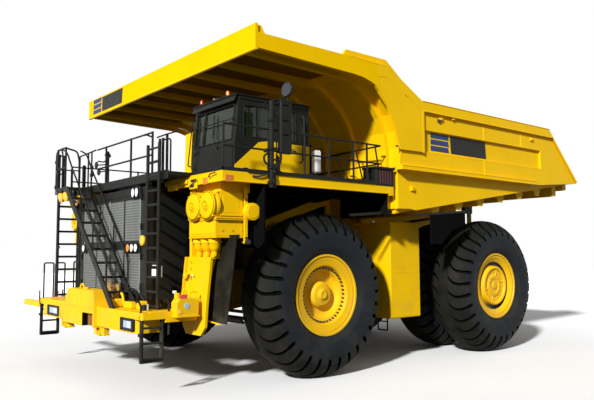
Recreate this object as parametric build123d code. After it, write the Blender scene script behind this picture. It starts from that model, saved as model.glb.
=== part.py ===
from build123d import *
import os
from math import cos, hypot, radians, sin

# A rigid mining dump truck. x runs to the truck's left, z up, and y from the nose to the tail.
# While pieces are modelled, y is measured from the front axle and heights are those of the truck
# on tyres of radius AXLE_Z. save() then moves the origin to the ground below the middle of the
# whole length. All sizes are in millimetres. A span is a (low, high) pair.

# ---- overall ----
WHEELBASE = 6350
AXLE_Z = 1867            # height of both axles
NOSE_Y = -4250           # foremost face of the bumper
TAIL_Y = WHEELBASE + 4020    # rear tip of the dump body
BODY_HALF_WIDTH = 4370   # dump body over its side rails
RUN = 0.3                # radial clearance of a pin in its bore
GAP = 5                  # clearance between pieces that move past each other

# ---- wheels and tyres ----
TYRE_RADIUS = 1867
TYRE_WIDTH = 1240
SHOULDER = [(15, 427), (95, 277), (195, 147), (320, 62), (470, 14)]    # in from the side, below the tread
BULGE_DROP = 557         # from the tread down to the widest part
RIM_RADIUS = 800
FLANGE_RADIUS = 915
RIM_HALF_WIDTH = 457
FLANGE_THICKNESS = 30
DUAL_GAP = 280           # between the two rear tyres of a side
REAR_INNER_X = 1290 + TYRE_WIDTH / 2
REAR_OUTER_X = REAR_INNER_X + TYRE_WIDTH + DUAL_GAP

# ---- steering ----
KINGPIN_X = 2000
KINGPIN_RADIUS = 150
FRONT_WHEEL_X = KINGPIN_X + 650 + TYRE_WIDTH / 2
STEER_LIMIT = 38         # degrees each way
STEER_ARM = 700          # crank from the kingpin to the tie rod and to the steering cylinder
ARM_Z = (1230, 1330)
LINK_Z = 1160            # height of the tie rod and of the steering cylinders
STEER_PIN_RADIUS = 45
STEER_LINE_Y = -626      # axis of the steering cylinders, the mean of the arm's travel
SPINDLE_RADIUS = 200     # front wheel spindle

# Reach of the front tyre, from the axle line, at full lock.
TYRE_SWEEP = round(TYRE_RADIUS * cos(radians(STEER_LIMIT))
                   + (FRONT_WHEEL_X - KINGPIN_X + TYRE_WIDTH / 2) * sin(radians(STEER_LIMIT)))
UPRIGHT_Y = -(TYRE_SWEEP + 266)
UPRIGHT_HEAD = 2740      # top of the upright's front plate, below the dust cups
CLEANER_FOOT = 3130
CLEANER_X = (2750, 3780)
CLEANER_Y = UPRIGHT_Y - 40    # front face of the air cleaner
CANISTERS_X = (3010, 3560)
TANK_FRONT_Y = TYRE_SWEEP - 80    # behind the tyre's rounded shoulder
TANK_LENGTH = 1110
TANK_Z = (1130, 3620)

# ---- frame ----
ENGINE_HALF_WIDTH = 600
RAIL_X = (ENGINE_HALF_WIDTH + 20, 1000)
RAIL_TOP = 3300
FRAME_FRONT_Y = -3450
FRAME_REAR_Y = WHEELBASE + 1800
REAR_STRUT_Y = WHEELBASE + 680
REAR_BEAM_Y = (REAR_STRUT_Y - 230, REAR_STRUT_Y + 170)
COLLAR_Z = (2900, 3500)
COLLAR_HALF_LENGTH = 330
ENGINE_Y = (-2300, 1500)
ENGINE_Z = (1700, 3700)
ARCH_GAP = 60                # between the engine and the arch's cross beam
NOSE_TOP = 1820              # top of the rails' front ends, under the radiator
AXLE_NOSE = (4300, 1950)     # y, z of the pin that the axle housing's nose swings on
AXLE_NOSE_PIN = 80
REAR_SPINDLE_RADIUS = 250

# ---- dump body ----
PIVOT_Y = FRAME_REAR_Y - 300
PIVOT_Z = 3030
PIVOT_RADIUS = 100
FLOOR_FRONT = (2620, 3860)   # y, z of the front end of the body's sloping underside
FLOOR_TAIL_Z = 5040          # height of the sloping underside at the tail
FLOOR_SLOPE = (FLOOR_TAIL_Z - FLOOR_FRONT[1]) / (TAIL_Y - FLOOR_FRONT[0])
FLOOR_THICKNESS = 170
FLOOR_RIB_Y = 3430           # front of the first cross rib
FLOOR_RIB_PITCH = 985
FLOOR_RIB_DEPTH = 190
SIDE_TOP = 6600
BELT_Z = 4820                # step between the upper side and the lower wedge
SIDE_OUTER = BODY_HALF_WIDTH - 70
SIDE_THICKNESS = 120
WEDGE_OUTER = SIDE_OUTER - 150
COAMING_X = (SIDE_OUTER - SIDE_THICKNESS, SIDE_OUTER - 40)
BELT_END_Y = TAIL_Y - 2380
TOP_END_Y = TAIL_Y - 1660    # rear end of the side's level top edge
CANOPY_FRONT_Y = -2440
CANOPY_TOP = 7270
CANOPY_REAR_Y = 1150
CANOPY_BEND_Y = 350
COAMING_TOP = 7450           # raised edge beside the load, where the canopy meets the sides
WALL_FOOT_Y = 1800
WALL_BAND = 70
WALL_RIB = 130               # depth of the front wall's ribs
WEDGE_FRONT_Y = WALL_FOOT_Y + WALL_RIB + 45    # front edge of the sides' lower wedge
WALL_LINE = [(WALL_FOOT_Y + WALL_RIB, 3880), (WALL_FOOT_Y + WALL_RIB, 5350), (1850, 5770), (1670, 6150),
             (1400, 6490), (1030, 6790), (650, 6990),
             (CANOPY_BEND_Y, 7080)]     # y, z along the outer face of the front wall's plate
SIDE_FRONT = [(1880, BELT_Z), (1925, 5300), (1870, 5700), (1740, 6040), (1500, 6375),
              (1330, 6545)]             # y, z up the front edge of the body's sides
RIB_REACH = SIDE_OUTER - 450
RIB_X = [RIB_REACH * (2 * i / 7 - 1) for i in range(8)]    # ribs of the front wall and the canopy
RIB_HALF = 75

# ---- hoist cylinders ----
HOIST_X = RAIL_X[1] + 250
HOIST_BASE = (TANK_FRONT_Y + 1495, 1750)     # y, z of the lower pivot
HOIST_TOP = (HOIST_BASE[0] - 450, 3720)      # y, z of the rod's eye, bed down
HOIST_RADII = (170, 135, 100)
HOIST_PIN = 60
HOIST_LENGTH = hypot(HOIST_TOP[0] - HOIST_BASE[0], HOIST_TOP[1] - HOIST_BASE[1])
HOIST_DIRECTION = ((HOIST_TOP[0] - HOIST_BASE[0]) / HOIST_LENGTH, (HOIST_TOP[1] - HOIST_BASE[1]) / HOIST_LENGTH)

# ---- decks and cab ----
DECK_Z = (4420, 4500)
DECK_INNER_X = 1250
DECK_OUTER_X = 4130
DECK_Y = (UPRIGHT_Y - 149, 1700)
FASCIA = 40
FASCIA_DROP = 280
LANDING_Y = (DECK_Y[0] - 510, DECK_Y[0])
LANDING_CORNERS = [(-1450, -4130), (-2150, -4130), (-3050, -3850)]    # x, y along the stair landing's front
CAB_X = (1720, 3500)
CAB_FRONT_Y = -2350
CAB_REAR_Y = -300
CAB_TOP = 6170
CAB_WALL = 60
DOOR_Y = (-1250, -630)
DOOR_TOP = 6060
DOOR_SWING_GAP = 12      # at the edge that swings out
HINGE_X = CAB_X[1] + 30
HINGE_RADIUS = 25
HINGE_PIN = 12
HINGE_Z = (4800, 5750)
HINGE_HEIGHT = 120
WHEEL_X = 2950           # steering wheel and operator's seat
SILL_Z = 5300
PANE = 10
CAB_KNEE_Z = 5150        # above this the front leans back
CAB_LEAN = 110           # set-back of the roof's front edge
CAB_OUTLINE = [(CAB_FRONT_Y, DECK_Z[1]), (CAB_FRONT_Y, CAB_KNEE_Z), (CAB_FRONT_Y + CAB_LEAN, CAB_TOP),
               (CAB_REAR_Y, CAB_TOP), (CAB_REAR_Y, DECK_Z[1])]
WINDSHIELD = ((CAB_X[0] + 130, CAB_X[1] - 130), (5230, 5980))    # x span, z span
REAR_WINDOW = ((CAB_X[0] + 250, CAB_X[1] - 250), (SILL_Z, 5950))
SIDE_WINDOW_Z = (SILL_Z, 5980)
LEFT_WINDOWS = ((-2120, -1380), (-520, -380))    # y spans
RIGHT_WINDOWS = ((-2120, -1380), (-1200, -500))
DOOR_WINDOW_Y = (DOOR_Y[0] + 90, DOOR_Y[1] - 90)

# ---- nose ----
BUMPER_Z = (1240, 1660)
BUMPER_HALF = 3050
BUMPER_FACE_Y = -4180
BUMPER_SLAB = 140        # height of the layer that reaches the bumper's ends
BUMPER_STEP = 250        # the lower layer ends this far inside the ends
NOSE_X = (-1040, 860)    # block in the middle of the bumper
NOSE_BOX_TOP = 2010
HITCH_X = (200, 780)     # notch in the block's underside
LAMPS_X = ((-2290, -1550), (2150, 2680))    # headlamp pockets, right and left
LAMP_Z = (1310, 1500)
TOW_LUGS_X = ((-1500, -940), (600, 1140))
RADIATOR_HALF = 1970
RADIATOR_Y = (-3550, -2500)
RADIATOR_Z = (NOSE_TOP, 4270)
LADDER_X = 2970          # lower ladders hang in this plane, left and right

RAIL_TUBE = 21           # radius of handrails
POST_TUBE = 25
RAIL_RISE = 870          # side handrails above the deck
LANDING_RISE = 1000      # rails across the front and round the landing
MIRROR_X, MIRROR_Y = DECK_OUTER_X + 55, -1900    # mirror columns beside the decks

Y_SHIFT = -(NOSE_Y + TAIL_Y) / 2
Z_SHIFT = TYRE_RADIUS - AXLE_Z


# ---- shapes that many pieces use ----

def span_box(x, y, z):
    """A block between three (low, high) spans."""
    low, high = zip(x, y, z)
    size = [b - a for a, b in zip(low, high)]
    middle = [(a + b) / 2 for a, b in zip(low, high)]
    return Pos(*middle) * Box(*size)


def side_prism(x, outline):
    """A prism along x from a side view outline of (y, z) points."""
    face = make_face(Polyline(*[(x[0], y, z) for y, z in outline], close=True))
    return extrude(face, amount=x[1] - x[0], dir=(1, 0, 0))


def front_prism(y, outline):
    """A prism along y from a front view outline of (x, z) points."""
    face = make_face(Polyline(*[(x, y[0], z) for x, z in outline], close=True))
    return extrude(face, amount=y[1] - y[0], dir=(0, 1, 0))


def plan_prism(z, outline):
    """A prism along z from a plan outline of (x, y) points."""
    face = make_face(Polyline(*[(x, y, z[0]) for x, y in outline], close=True))
    return extrude(face, amount=z[1] - z[0], dir=(0, 0, 1))


def bar(start, end, radius):
    """A round bar between two points."""
    run = Vector(*end) - Vector(*start)
    base = Plane(origin=start, z_dir=run)
    return base * Cylinder(radius, run.length, align=(Align.CENTER, Align.CENTER, Align.MIN))


def turned(outline, y, z):
    """A solid of revolution about an axle along x, from (x, radius) points."""
    face = make_face(Polyline(*[(x, 0, r) for x, r in outline], close=True))
    return Pos(0, y, z) * revolve(face, Axis.X)


def drum(x, y, z, radius):
    """A round drum along x."""
    return bar((x[0], y, z), (x[1], y, z), radius)


def flip(shape):
    """The same piece on the truck's right side."""
    return mirror(shape, about=Plane.YZ)


def flip_span(x):
    return (-x[1], -x[0])


def floor_z(y):
    """Height of the body's sloping underside."""
    return FLOOR_FRONT[1] + (y - FLOOR_FRONT[0]) * FLOOR_SLOPE


def save(name, *pieces):
    """Write one node: its solids, moved from the modelling frame to the part's own frame."""
    solids = [s for piece in pieces for s in piece.solids()]
    moved = [Pos(0, Y_SHIFT, Z_SHIFT) * s for s in solids]
    shape = moved[0] if len(moved) == 1 else Compound(children=moved)
    export_step(shape, f"parts/{name}.step")


# ---- chassis ----

def main_frame():
    rail_outline = [(FRAME_FRONT_Y, 1300), (-1200, 1350), (4300, 2150), (5300, 2700),
                    (FRAME_REAR_Y, 2750), (FRAME_REAR_Y, RAIL_TOP), (2000, RAIL_TOP),
                    (200, 2400), (-2300, 2400), (-2450, NOSE_TOP), (FRAME_FRONT_Y, NOSE_TOP)]
    rail = side_prism(RAIL_X, rail_outline) - drum((0, 1100), PIVOT_Y, PIVOT_Z, PIVOT_RADIUS + RUN)
    frame = rail + flip(rail)

    inner = (-RAIL_X[0], RAIL_X[0])
    cross_members = [   # y span, z span
        ((FRAME_FRONT_Y, -3150), (1300, 1690)),
        ((-850, -450), (1420, ENGINE_Z[0])),
        ((900, 1200), (1600, ENGINE_Z[0])),
        ((2200, 2500), (2300, 3100)),
        ((4100, 4500), (2200, 2700)),
        (REAR_BEAM_Y, (2800, 3250)),
    ]
    for y, z in cross_members:
        frame += span_box(inner, y, z)

    # The arch over the engine that carries the front struts and the decks.
    collar_y = (-COLLAR_HALF_LENGTH, COLLAR_HALF_LENGTH)
    tower_parts = [   # x span, z span
        ((RAIL_X[0] + 20, KINGPIN_X + 250), COLLAR_Z),
        ((RAIL_X[0] + 20, 1300), (2300, COLLAR_Z[0])),
        ((1000, 1300), (COLLAR_Z[1], DECK_Z[0])),
    ]
    for x, z in tower_parts:
        frame += span_box(x, collar_y, z) + span_box(flip_span(x), collar_y, z)
    frame += span_box((-1300, 1300), (-200, 200), (ENGINE_Z[1] + ARCH_GAP, ENGINE_Z[1] + 300))

    # Bracket for the steering cylinders, under the engine.
    frame += span_box((-330, 330), (-745, -500), (LINK_Z - 80, 1420))

    # Lugs and pin for the nose of the axle housing.
    for side in (-1, 1):
        y, z = AXLE_NOSE
        frame += side_prism((side * 405 - 50, side * 405 + 50),
                            [(y - 150, z + 250), (y + 150, z + 250), (y + 100, z - 150), (y - 100, z - 150)])
    frame += drum((-455, 455), *AXLE_NOSE, AXLE_NOSE_PIN)

    # Feet for the hoist cylinders, outside the rails.
    y, z = HOIST_BASE
    for side in (-1, 1):
        x = sorted((side * (RAIL_X[1] - 20), side * (RAIL_X[1] + 60)))
        frame += side_prism(x, [(y - 220, 2300), (y - 160, z - 140), (y + 160, z - 140), (y + 220, 2300)])
        pin = sorted((side * (RAIL_X[1] + 50), side * (HOIST_X + 130)))
        frame += drum(pin, y, z, HOIST_PIN)

    # Cradle for the side tanks.
    for y in (TANK_FRONT_Y + 250, TANK_FRONT_Y + 700):
        frame += span_box((-1500, 1500), (y, y + 150), (2450, 2700))
    return frame


def engine_block():
    return span_box((-ENGINE_HALF_WIDTH, ENGINE_HALF_WIDTH), ENGINE_Y, ENGINE_Z)


def bumper_layer(half, corner, z):
    """One layer of the bumper's beam, from its half length and the cut of its front corners."""
    return plan_prism(z, [(-half, BUMPER_FACE_Y + corner), (-half + corner, BUMPER_FACE_Y),
                          (half - corner, BUMPER_FACE_Y), (half, BUMPER_FACE_Y + corner), (half, -3620),
                          (1000, FRAME_FRONT_Y), (-1000, FRAME_FRONT_Y), (-half, -3620)])


def front_bumper():
    half, slab_foot = BUMPER_HALF, BUMPER_Z[1] - BUMPER_SLAB
    bumper = bumper_layer(half, 30, (slab_foot, BUMPER_Z[1]))
    bumper += bumper_layer(half - BUMPER_STEP, 120, (BUMPER_Z[0], slab_foot))
    bumper += span_box(NOSE_X, (NOSE_Y, -3700), (BUMPER_Z[0] - 40, BUMPER_Z[1] - 40))
    bumper += front_prism((NOSE_Y, -3930), [(NOSE_X[0] + 100, BUMPER_Z[1] - 50), (NOSE_X[1], BUMPER_Z[1] - 50),
                                            (NOSE_X[1] - 60, NOSE_BOX_TOP), (NOSE_X[0] + 290, NOSE_BOX_TOP)])
    bumper -= span_box(HITCH_X, (NOSE_Y - 10, -3900), (BUMPER_Z[0] - 50, 1500))
    for lamp_x, lug_x in zip(LAMPS_X, TOW_LUGS_X):
        bumper -= span_box(lamp_x, (BUMPER_FACE_Y - 10, BUMPER_FACE_Y + 60), LAMP_Z)
        middle = sum(lug_x) / 2
        lug = span_box(lug_x, (-4130, -4010), (1060, BUMPER_Z[0] + 5))
        bumper += lug - bar((middle, -4200, 1140), (middle, -3900, 1140), 55)
    for side in (-1, 1):
        arm_x = sorted((side * 2450, side * half))
        bumper += span_box(arm_x, (-3660, UPRIGHT_Y - 60), (1450, BUMPER_Z[1]))
    # Outrigger bar at the right-hand end.
    bumper += span_box((-4360, -half + 20), (BUMPER_FACE_Y, BUMPER_FACE_Y + 120), (1420, 1570))
    bumper += bar((0, -4090, NOSE_BOX_TOP), (0, -4090, NOSE_BOX_TOP + 40), 60)
    return bumper


def radiator_shell():
    half = RADIATOR_HALF
    shell = span_box((-half, half), RADIATOR_Y, RADIATOR_Z)
    shell -= span_box((-half + 120, half - 120), (RADIATOR_Y[0] + 60, RADIATOR_Y[1] + 10),
                      (RADIATOR_Z[0] + 60, RADIATOR_Z[1] - 90))
    shell -= span_box((-1640, 1640), (RADIATOR_Y[0] - 10, RADIATOR_Y[0] + 70),
                      (RADIATOR_Z[0] + 70, RADIATOR_Z[1] - 160))
    return shell


def radiator_core():
    half = RADIATOR_HALF - 120
    return span_box((-half, half), (-3300, -2950), (RADIATOR_Z[0] + 60, RADIATOR_Z[1] - 90))


def radiator_grille():
    """Two mesh frames in the front opening, with the bar between them."""
    low, high = RADIATOR_Z[0] + 70, RADIATOR_Z[1] - 160
    y = (RADIATOR_Y[0] + 10, RADIATOR_Y[0] + 50)
    grille = span_box((-1640, 1640), y, (low, high))
    middle = (low + high) / 2
    for z in ((low + 60, middle - 70), (middle + 70, high - 60)):
        grille -= span_box((-1560, 1560), (y[0] - 10, y[0] + 20), z)
    return grille


def deck_upright():
    """Left support between the bumper and the deck, with its forward web."""
    y = UPRIGHT_Y
    head, back = UPRIGHT_HEAD, y + 190
    plate = front_prism((y, y + 60), [(2360, 1300), (2500, 1130), (3100, 1130), (3260, 1300), (3320, 1800),
                                      (3480, head), (2540, head), (2360, 1800)])
    web = span_box((2360, 2440), (y - 60, y), (1450, 1800))
    stay = front_prism((y - 60, y), [(2360, 1800), (2420, 1800), (2600, head), (2540, head)])
    # Above its head the plate steps back, so that the air cleaner's dust cups hang in front of it.
    shelf = span_box((2540, 3480), (y, back + 50), (head - 40, head))
    upper = front_prism((back, back + 50), [(2540, head), (3480, head), (3550, CLEANER_FOOT - 20),
                                            (2600, CLEANER_FOOT - 20)])
    hanger = span_box((CLEANER_X[0] - 120, CLEANER_X[0] - 20), (y, back + 10), (head - 20, DECK_Z[0]))
    return plate + web + stay + shelf + upper + hanger


def side_deck():
    """Left deck: plate, fascia on its outer and front edges, and cross beams."""
    x = (DECK_INNER_X, DECK_OUTER_X)
    deck = span_box(x, DECK_Y, DECK_Z)
    low = DECK_Z[1] - FASCIA_DROP
    deck += span_box((DECK_OUTER_X - FASCIA, DECK_OUTER_X), DECK_Y, (low, DECK_Z[1]))
    deck += span_box((RADIATOR_HALF + 10, DECK_OUTER_X), (DECK_Y[0], DECK_Y[0] + FASCIA), (low, DECK_Z[1]))
    for y in (-1900, 500, 1500):
        deck += span_box((DECK_INNER_X + 60, DECK_OUTER_X - FASCIA), (y, y + 120), (DECK_Z[0] - 120, DECK_Z[0]))
    return deck


def centre_deck():
    """Plates over the engine, with the landing across the front of the radiator."""
    deck = span_box((-DECK_INNER_X, DECK_INNER_X), (DECK_Y[0], DECK_Y[1]), DECK_Z)
    deck += span_box((-3050, 2900), LANDING_Y, DECK_Z)
    outline = LANDING_CORNERS + [(LANDING_CORNERS[-1][0], LANDING_Y[0]), (LANDING_CORNERS[0][0], LANDING_Y[0])]
    deck += plan_prism(DECK_Z, outline)
    return deck


def air_cleaner():
    """Left intake: a box over the tyre, two round canister covers on its front and stubs below."""
    front, foot = CLEANER_Y, CLEANER_FOOT
    box = span_box(CLEANER_X, (front, front + 620), (foot + 410, 4060))
    box += span_box(CLEANER_X, (front - 40, front + 620), (foot, foot + 410))
    for x in CANISTERS_X:
        box += bar((x, front, 3760), (x, front - 130, 3760), 255)
    stub_y = front + 120
    for x in (2900, 3200, 3500):
        box += bar((x, stub_y, foot), (x, stub_y, foot - 250), 75)
    box += bar((CLEANER_X[0] + 300, front + 760, 3680), (CLEANER_X[1] - 60, front + 760, 3680), 165)
    return box + span_box((CLEANER_X[0] + 50, CLEANER_X[1] - 50), (front + 100, front + 820), (4060, DECK_Z[0]))


def front_strut():
    """Left front suspension cylinder, hung from the arch."""
    housing = bar((KINGPIN_X, 0, 2350), (KINGPIN_X, 0, COLLAR_Z[0]), 240)
    rod = bar((KINGPIN_X, 0, 1500), (KINGPIN_X, 0, 2350), KINGPIN_RADIUS)
    return housing + rod


def rear_axle():
    y, z = WHEELBASE, AXLE_Z
    hub, tip = REAR_OUTER_X - 390, REAR_OUTER_X - 130
    axle = drum((-1150, 1150), y, z, 600) + drum((-hub, hub), y, z, 520)
    axle += drum((-tip, tip), y, z, REAR_SPINDLE_RADIUS)
    nose_y, nose_z = AXLE_NOSE
    axle += side_prism((-350, 350), [(y - 450, 1450), (y - 450, 2400), (nose_y + 30, nose_z + 150),
                                     (nose_y - 120, nose_z + 100), (nose_y - 120, nose_z - 100),
                                     (nose_y + 30, nose_z - 150)])
    axle -= drum((-360, 360), nose_y, nose_z, AXLE_NOSE_PIN + RUN)
    for side in (-1, 1):
        axle += span_box(sorted((side * 330, side * 570)), (y + 300, y + 800), (1750, 2100))
    return axle


def rear_strut():
    """Left rear suspension cylinder, from the axle housing up to the frame."""
    y = REAR_STRUT_Y
    return bar((450, y, 2100), (450, y, 2480), 110) + bar((450, y, 2480), (450, y, 2800), 165)


def side_tank(x):
    tank = span_box(x, (TANK_FRONT_Y, TANK_FRONT_Y + TANK_LENGTH), TANK_Z)
    return fillet(tank.edges().filter_by(Axis.Y), 40)


# ---- wheels ----

def tyre(x, y):
    half = TYRE_WIDTH / 2
    right = [(RIM_HALF_WIDTH, RIM_RADIUS), (RIM_HALF_WIDTH, FLANGE_RADIUS), (half - 80, FLANGE_RADIUS + 115),
             (half, TYRE_RADIUS - BULGE_DROP)]
    right += [(half - inset, TYRE_RADIUS - drop) for inset, drop in SHOULDER]
    outline = right + [(0, TYRE_RADIUS)] + [(-a, r) for a, r in reversed(right)]
    return Pos(x, 0, 0) * turned(outline, y, AXLE_Z)


def rim_barrel(x):
    """(x, radius) outline of a rim's barrel and its two flanges, about the wheel's centre x."""
    a, t = RIM_HALF_WIDTH, FLANGE_THICKNESS
    return [(x - a - t, RIM_RADIUS - 30), (x + a + t, RIM_RADIUS - 30), (x + a + t, FLANGE_RADIUS),
            (x + a, FLANGE_RADIUS), (x + a, RIM_RADIUS), (x - a, RIM_RADIUS), (x - a, FLANGE_RADIUS),
            (x - a - t, FLANGE_RADIUS)]


def front_rim():
    """Left front rim: barrel, recessed disc and hub, bored for the spindle."""
    x = FRONT_WHEEL_X
    rim = turned(rim_barrel(x), 0, AXLE_Z)
    disc = [(x - 500, 0), (x + 330, 0), (x + 330, 190), (x + 250, 230), (x + 250, 420), (x + 190, 440),
            (x + 130, RIM_RADIUS - 20), (x + 60, RIM_RADIUS - 20), (x + 60, 430), (x - 500, 430)]
    rim += turned(disc, 0, AXLE_Z)
    return rim - drum((x - 510, x + 10), 0, AXLE_Z, SPINDLE_RADIUS + RUN)


def rear_rims():
    """Left rear rims: two barrels, the ring between them, and the recessed disc and hub."""
    y = WHEELBASE
    rims = turned(rim_barrel(REAR_OUTER_X), y, AXLE_Z) + turned(rim_barrel(REAR_INNER_X), y, AXLE_Z)
    ring_x = (REAR_INNER_X + RIM_HALF_WIDTH, REAR_OUTER_X - RIM_HALF_WIDTH)
    low, high = RIM_RADIUS - 60, RIM_RADIUS - 10
    rims += turned([(ring_x[0], low), (ring_x[1], low), (ring_x[1], high), (ring_x[0], high)], y, AXLE_Z)
    x = REAR_OUTER_X
    disc = [(x - 370, 0), (x + 70, 0), (x + 70, 360), (x + 10, 400), (x - 180, 430), (x - 230, RIM_RADIUS - 20),
            (x - 300, RIM_RADIUS - 20), (x - 300, 500), (x - 370, 500)]
    rims += turned(disc, y, AXLE_Z)
    return rims - drum((x - 380, x - 120), y, AXLE_Z, REAR_SPINDLE_RADIUS + RUN)


def knuckle():
    """Left steering knuckle: sleeve on the strut, spindle, and arms fore and aft."""
    x = KINGPIN_X
    body = bar((x, 0, ARM_Z[0]), (x, 0, 2350 - GAP), 285)
    body += drum((x, FRONT_WHEEL_X - 510), 0, AXLE_Z, 330)
    body += drum((x, FRONT_WHEEL_X), 0, AXLE_Z, SPINDLE_RADIUS)
    for y in (-STEER_ARM, STEER_ARM):
        body += plan_prism(ARM_Z, [(x - 190, 0), (x + 190, 0), (x + 85, y), (x - 85, y)])
        body += bar((x, y, ARM_Z[0]), (x, y, ARM_Z[1]), 85)
    body += bar((x, STEER_ARM, LINK_Z - 70), (x, STEER_ARM, ARM_Z[0]), STEER_PIN_RADIUS)
    return body - bar((x, 0, 1495), (x, 0, 2400), KINGPIN_RADIUS + RUN)


def tie_rod():
    """Rod between the knuckles' rear arms. Its right eye is the linkage's open pivot."""
    y = STEER_ARM
    rod = bar((-KINGPIN_X + 80, y, LINK_Z), (KINGPIN_X - 80, y, LINK_Z), 48)
    for x, bore in ((KINGPIN_X, STEER_PIN_RADIUS + RUN), (-KINGPIN_X, STEER_PIN_RADIUS + 10)):
        eye = bar((x, y, LINK_Z - 60), (x, y, LINK_Z + 60), 100)
        rod = rod + eye - bar((x, y, LINK_Z - 70), (x, y, LINK_Z + 70), bore)
    return rod


def steer_barrel():
    barrel = bar((330, STEER_LINE_Y, LINK_Z), (1330, STEER_LINE_Y, LINK_Z), 92)
    return barrel - bar((360, STEER_LINE_Y, LINK_Z), (1340, STEER_LINE_Y, LINK_Z), 50 + RUN)


def steer_rod():
    """Left steering rod. Its eye lies under the knuckle's arm and drifts a little as the wheel turns."""
    rod = bar((800, STEER_LINE_Y, LINK_Z), (KINGPIN_X - 60, STEER_LINE_Y, LINK_Z), 50)
    return rod + bar((KINGPIN_X, STEER_LINE_Y, LINK_Z - 60), (KINGPIN_X, STEER_LINE_Y, LINK_Z + 60), 95)


# ---- hoist cylinders ----

def hoist_point(distance):
    """A point on the left hoist cylinder's axis, from its lower pivot."""
    return (HOIST_X, HOIST_BASE[0] + HOIST_DIRECTION[0] * distance, HOIST_BASE[1] + HOIST_DIRECTION[1] * distance)


def hoist_barrel():
    outer, inner = HOIST_RADII[0], HOIST_RADII[1]
    y, z = HOIST_BASE
    barrel = bar(hoist_point(90), hoist_point(1750), outer) - bar(hoist_point(130), hoist_point(1760), inner + RUN)
    barrel += drum((HOIST_X - 70, HOIST_X + 70), y, z, 130)
    return barrel - drum((HOIST_X - 80, HOIST_X + 80), y, z, HOIST_PIN + RUN)


def hoist_stage():
    outer, inner = HOIST_RADII[1], HOIST_RADII[2]
    return bar(hoist_point(135), hoist_point(1790), outer) - bar(hoist_point(165), hoist_point(1800), inner + RUN)


def hoist_rod():
    rod = bar(hoist_point(170), hoist_point(HOIST_LENGTH - 240), HOIST_RADII[2])
    rod += bar(hoist_point(HOIST_LENGTH - 250), hoist_point(HOIST_LENGTH - 60), 48)
    return rod + drum((HOIST_X - 50, HOIST_X + 50), HOIST_TOP[0], HOIST_TOP[1], 120)


# ---- dump body ----

def body_floor():
    """Sloping floor with cross ribs below it, rail beams, pivot lugs and hoist brackets."""
    inner = WEDGE_OUTER - SIDE_THICKNESS
    tail = TAIL_Y - 170
    start = WALL_FOOT_Y + 200
    floor = side_prism((-inner, inner), [(start, floor_z(start)), (tail, floor_z(tail)),
                                         (tail, floor_z(tail) + FLOOR_THICKNESS),
                                         (start, floor_z(start) + FLOOR_THICKNESS)])
    ribs = [(FLOOR_RIB_Y + i * FLOOR_RIB_PITCH, 220, FLOOR_RIB_DEPTH) for i in range(6)]    # y, width, depth
    ribs += [(TAIL_Y - 1040, 230, 320), (tail - 200, 200, FLOOR_RIB_DEPTH)]
    for y, width, depth in ribs:
        end = y + width
        floor += side_prism((-inner, inner), [(y, floor_z(y) - depth), (end, floor_z(end) - depth),
                                              (end, floor_z(end) + 10), (y, floor_z(y) + 10)])
    seat = RAIL_TOP + GAP
    eye_y, eye_z = HOIST_TOP
    for side in (-1, 1):
        eye_x = sorted((side * (HOIST_X - 60), side * (HOIST_X + 60)))
        floor -= span_box(eye_x, (eye_y - 170, eye_y + 170), (eye_z - 200, eye_z + 150))
        beam_x = sorted((side * (RAIL_X[0] + 20), side * (RAIL_X[1] - 20)))
        floor += side_prism(beam_x, [(2300, seat), (PIVOT_Y - 350, seat), (PIVOT_Y + 250, PIVOT_Z + 700),
                                     (PIVOT_Y + 250, floor_z(PIVOT_Y + 250) + 10), (2300, floor_z(2300) + 10)])
        lug_x = sorted((side * (RAIL_X[1] + GAP), side * (RAIL_X[1] + 180)))
        lug = side_prism(lug_x, [(PIVOT_Y - 150, PIVOT_Z), (PIVOT_Y + 150, PIVOT_Z),
                                 (PIVOT_Y + 420, floor_z(PIVOT_Y + 420) + 10),
                                 (PIVOT_Y - 420, floor_z(PIVOT_Y - 420) + 10)])
        floor += lug + drum(lug_x, PIVOT_Y, PIVOT_Z, 170)
        pin_x = sorted((side * (RAIL_X[0] + 30), side * (RAIL_X[1] + 100)))
        floor += drum(pin_x, PIVOT_Y, PIVOT_Z, PIVOT_RADIUS)
        for x in (HOIST_X - 60, HOIST_X + 110):
            plate_x = sorted((side * x, side * (x - 50)))
            y = (eye_y - 200, eye_y + 200)
            floor += side_prism(plate_x, [(eye_y - 90, eye_z - 110), (eye_y + 90, eye_z - 110),
                                          (y[1], floor_z(y[1]) + 10), (y[0], floor_z(y[0]) + 10)])
    return floor


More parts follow.
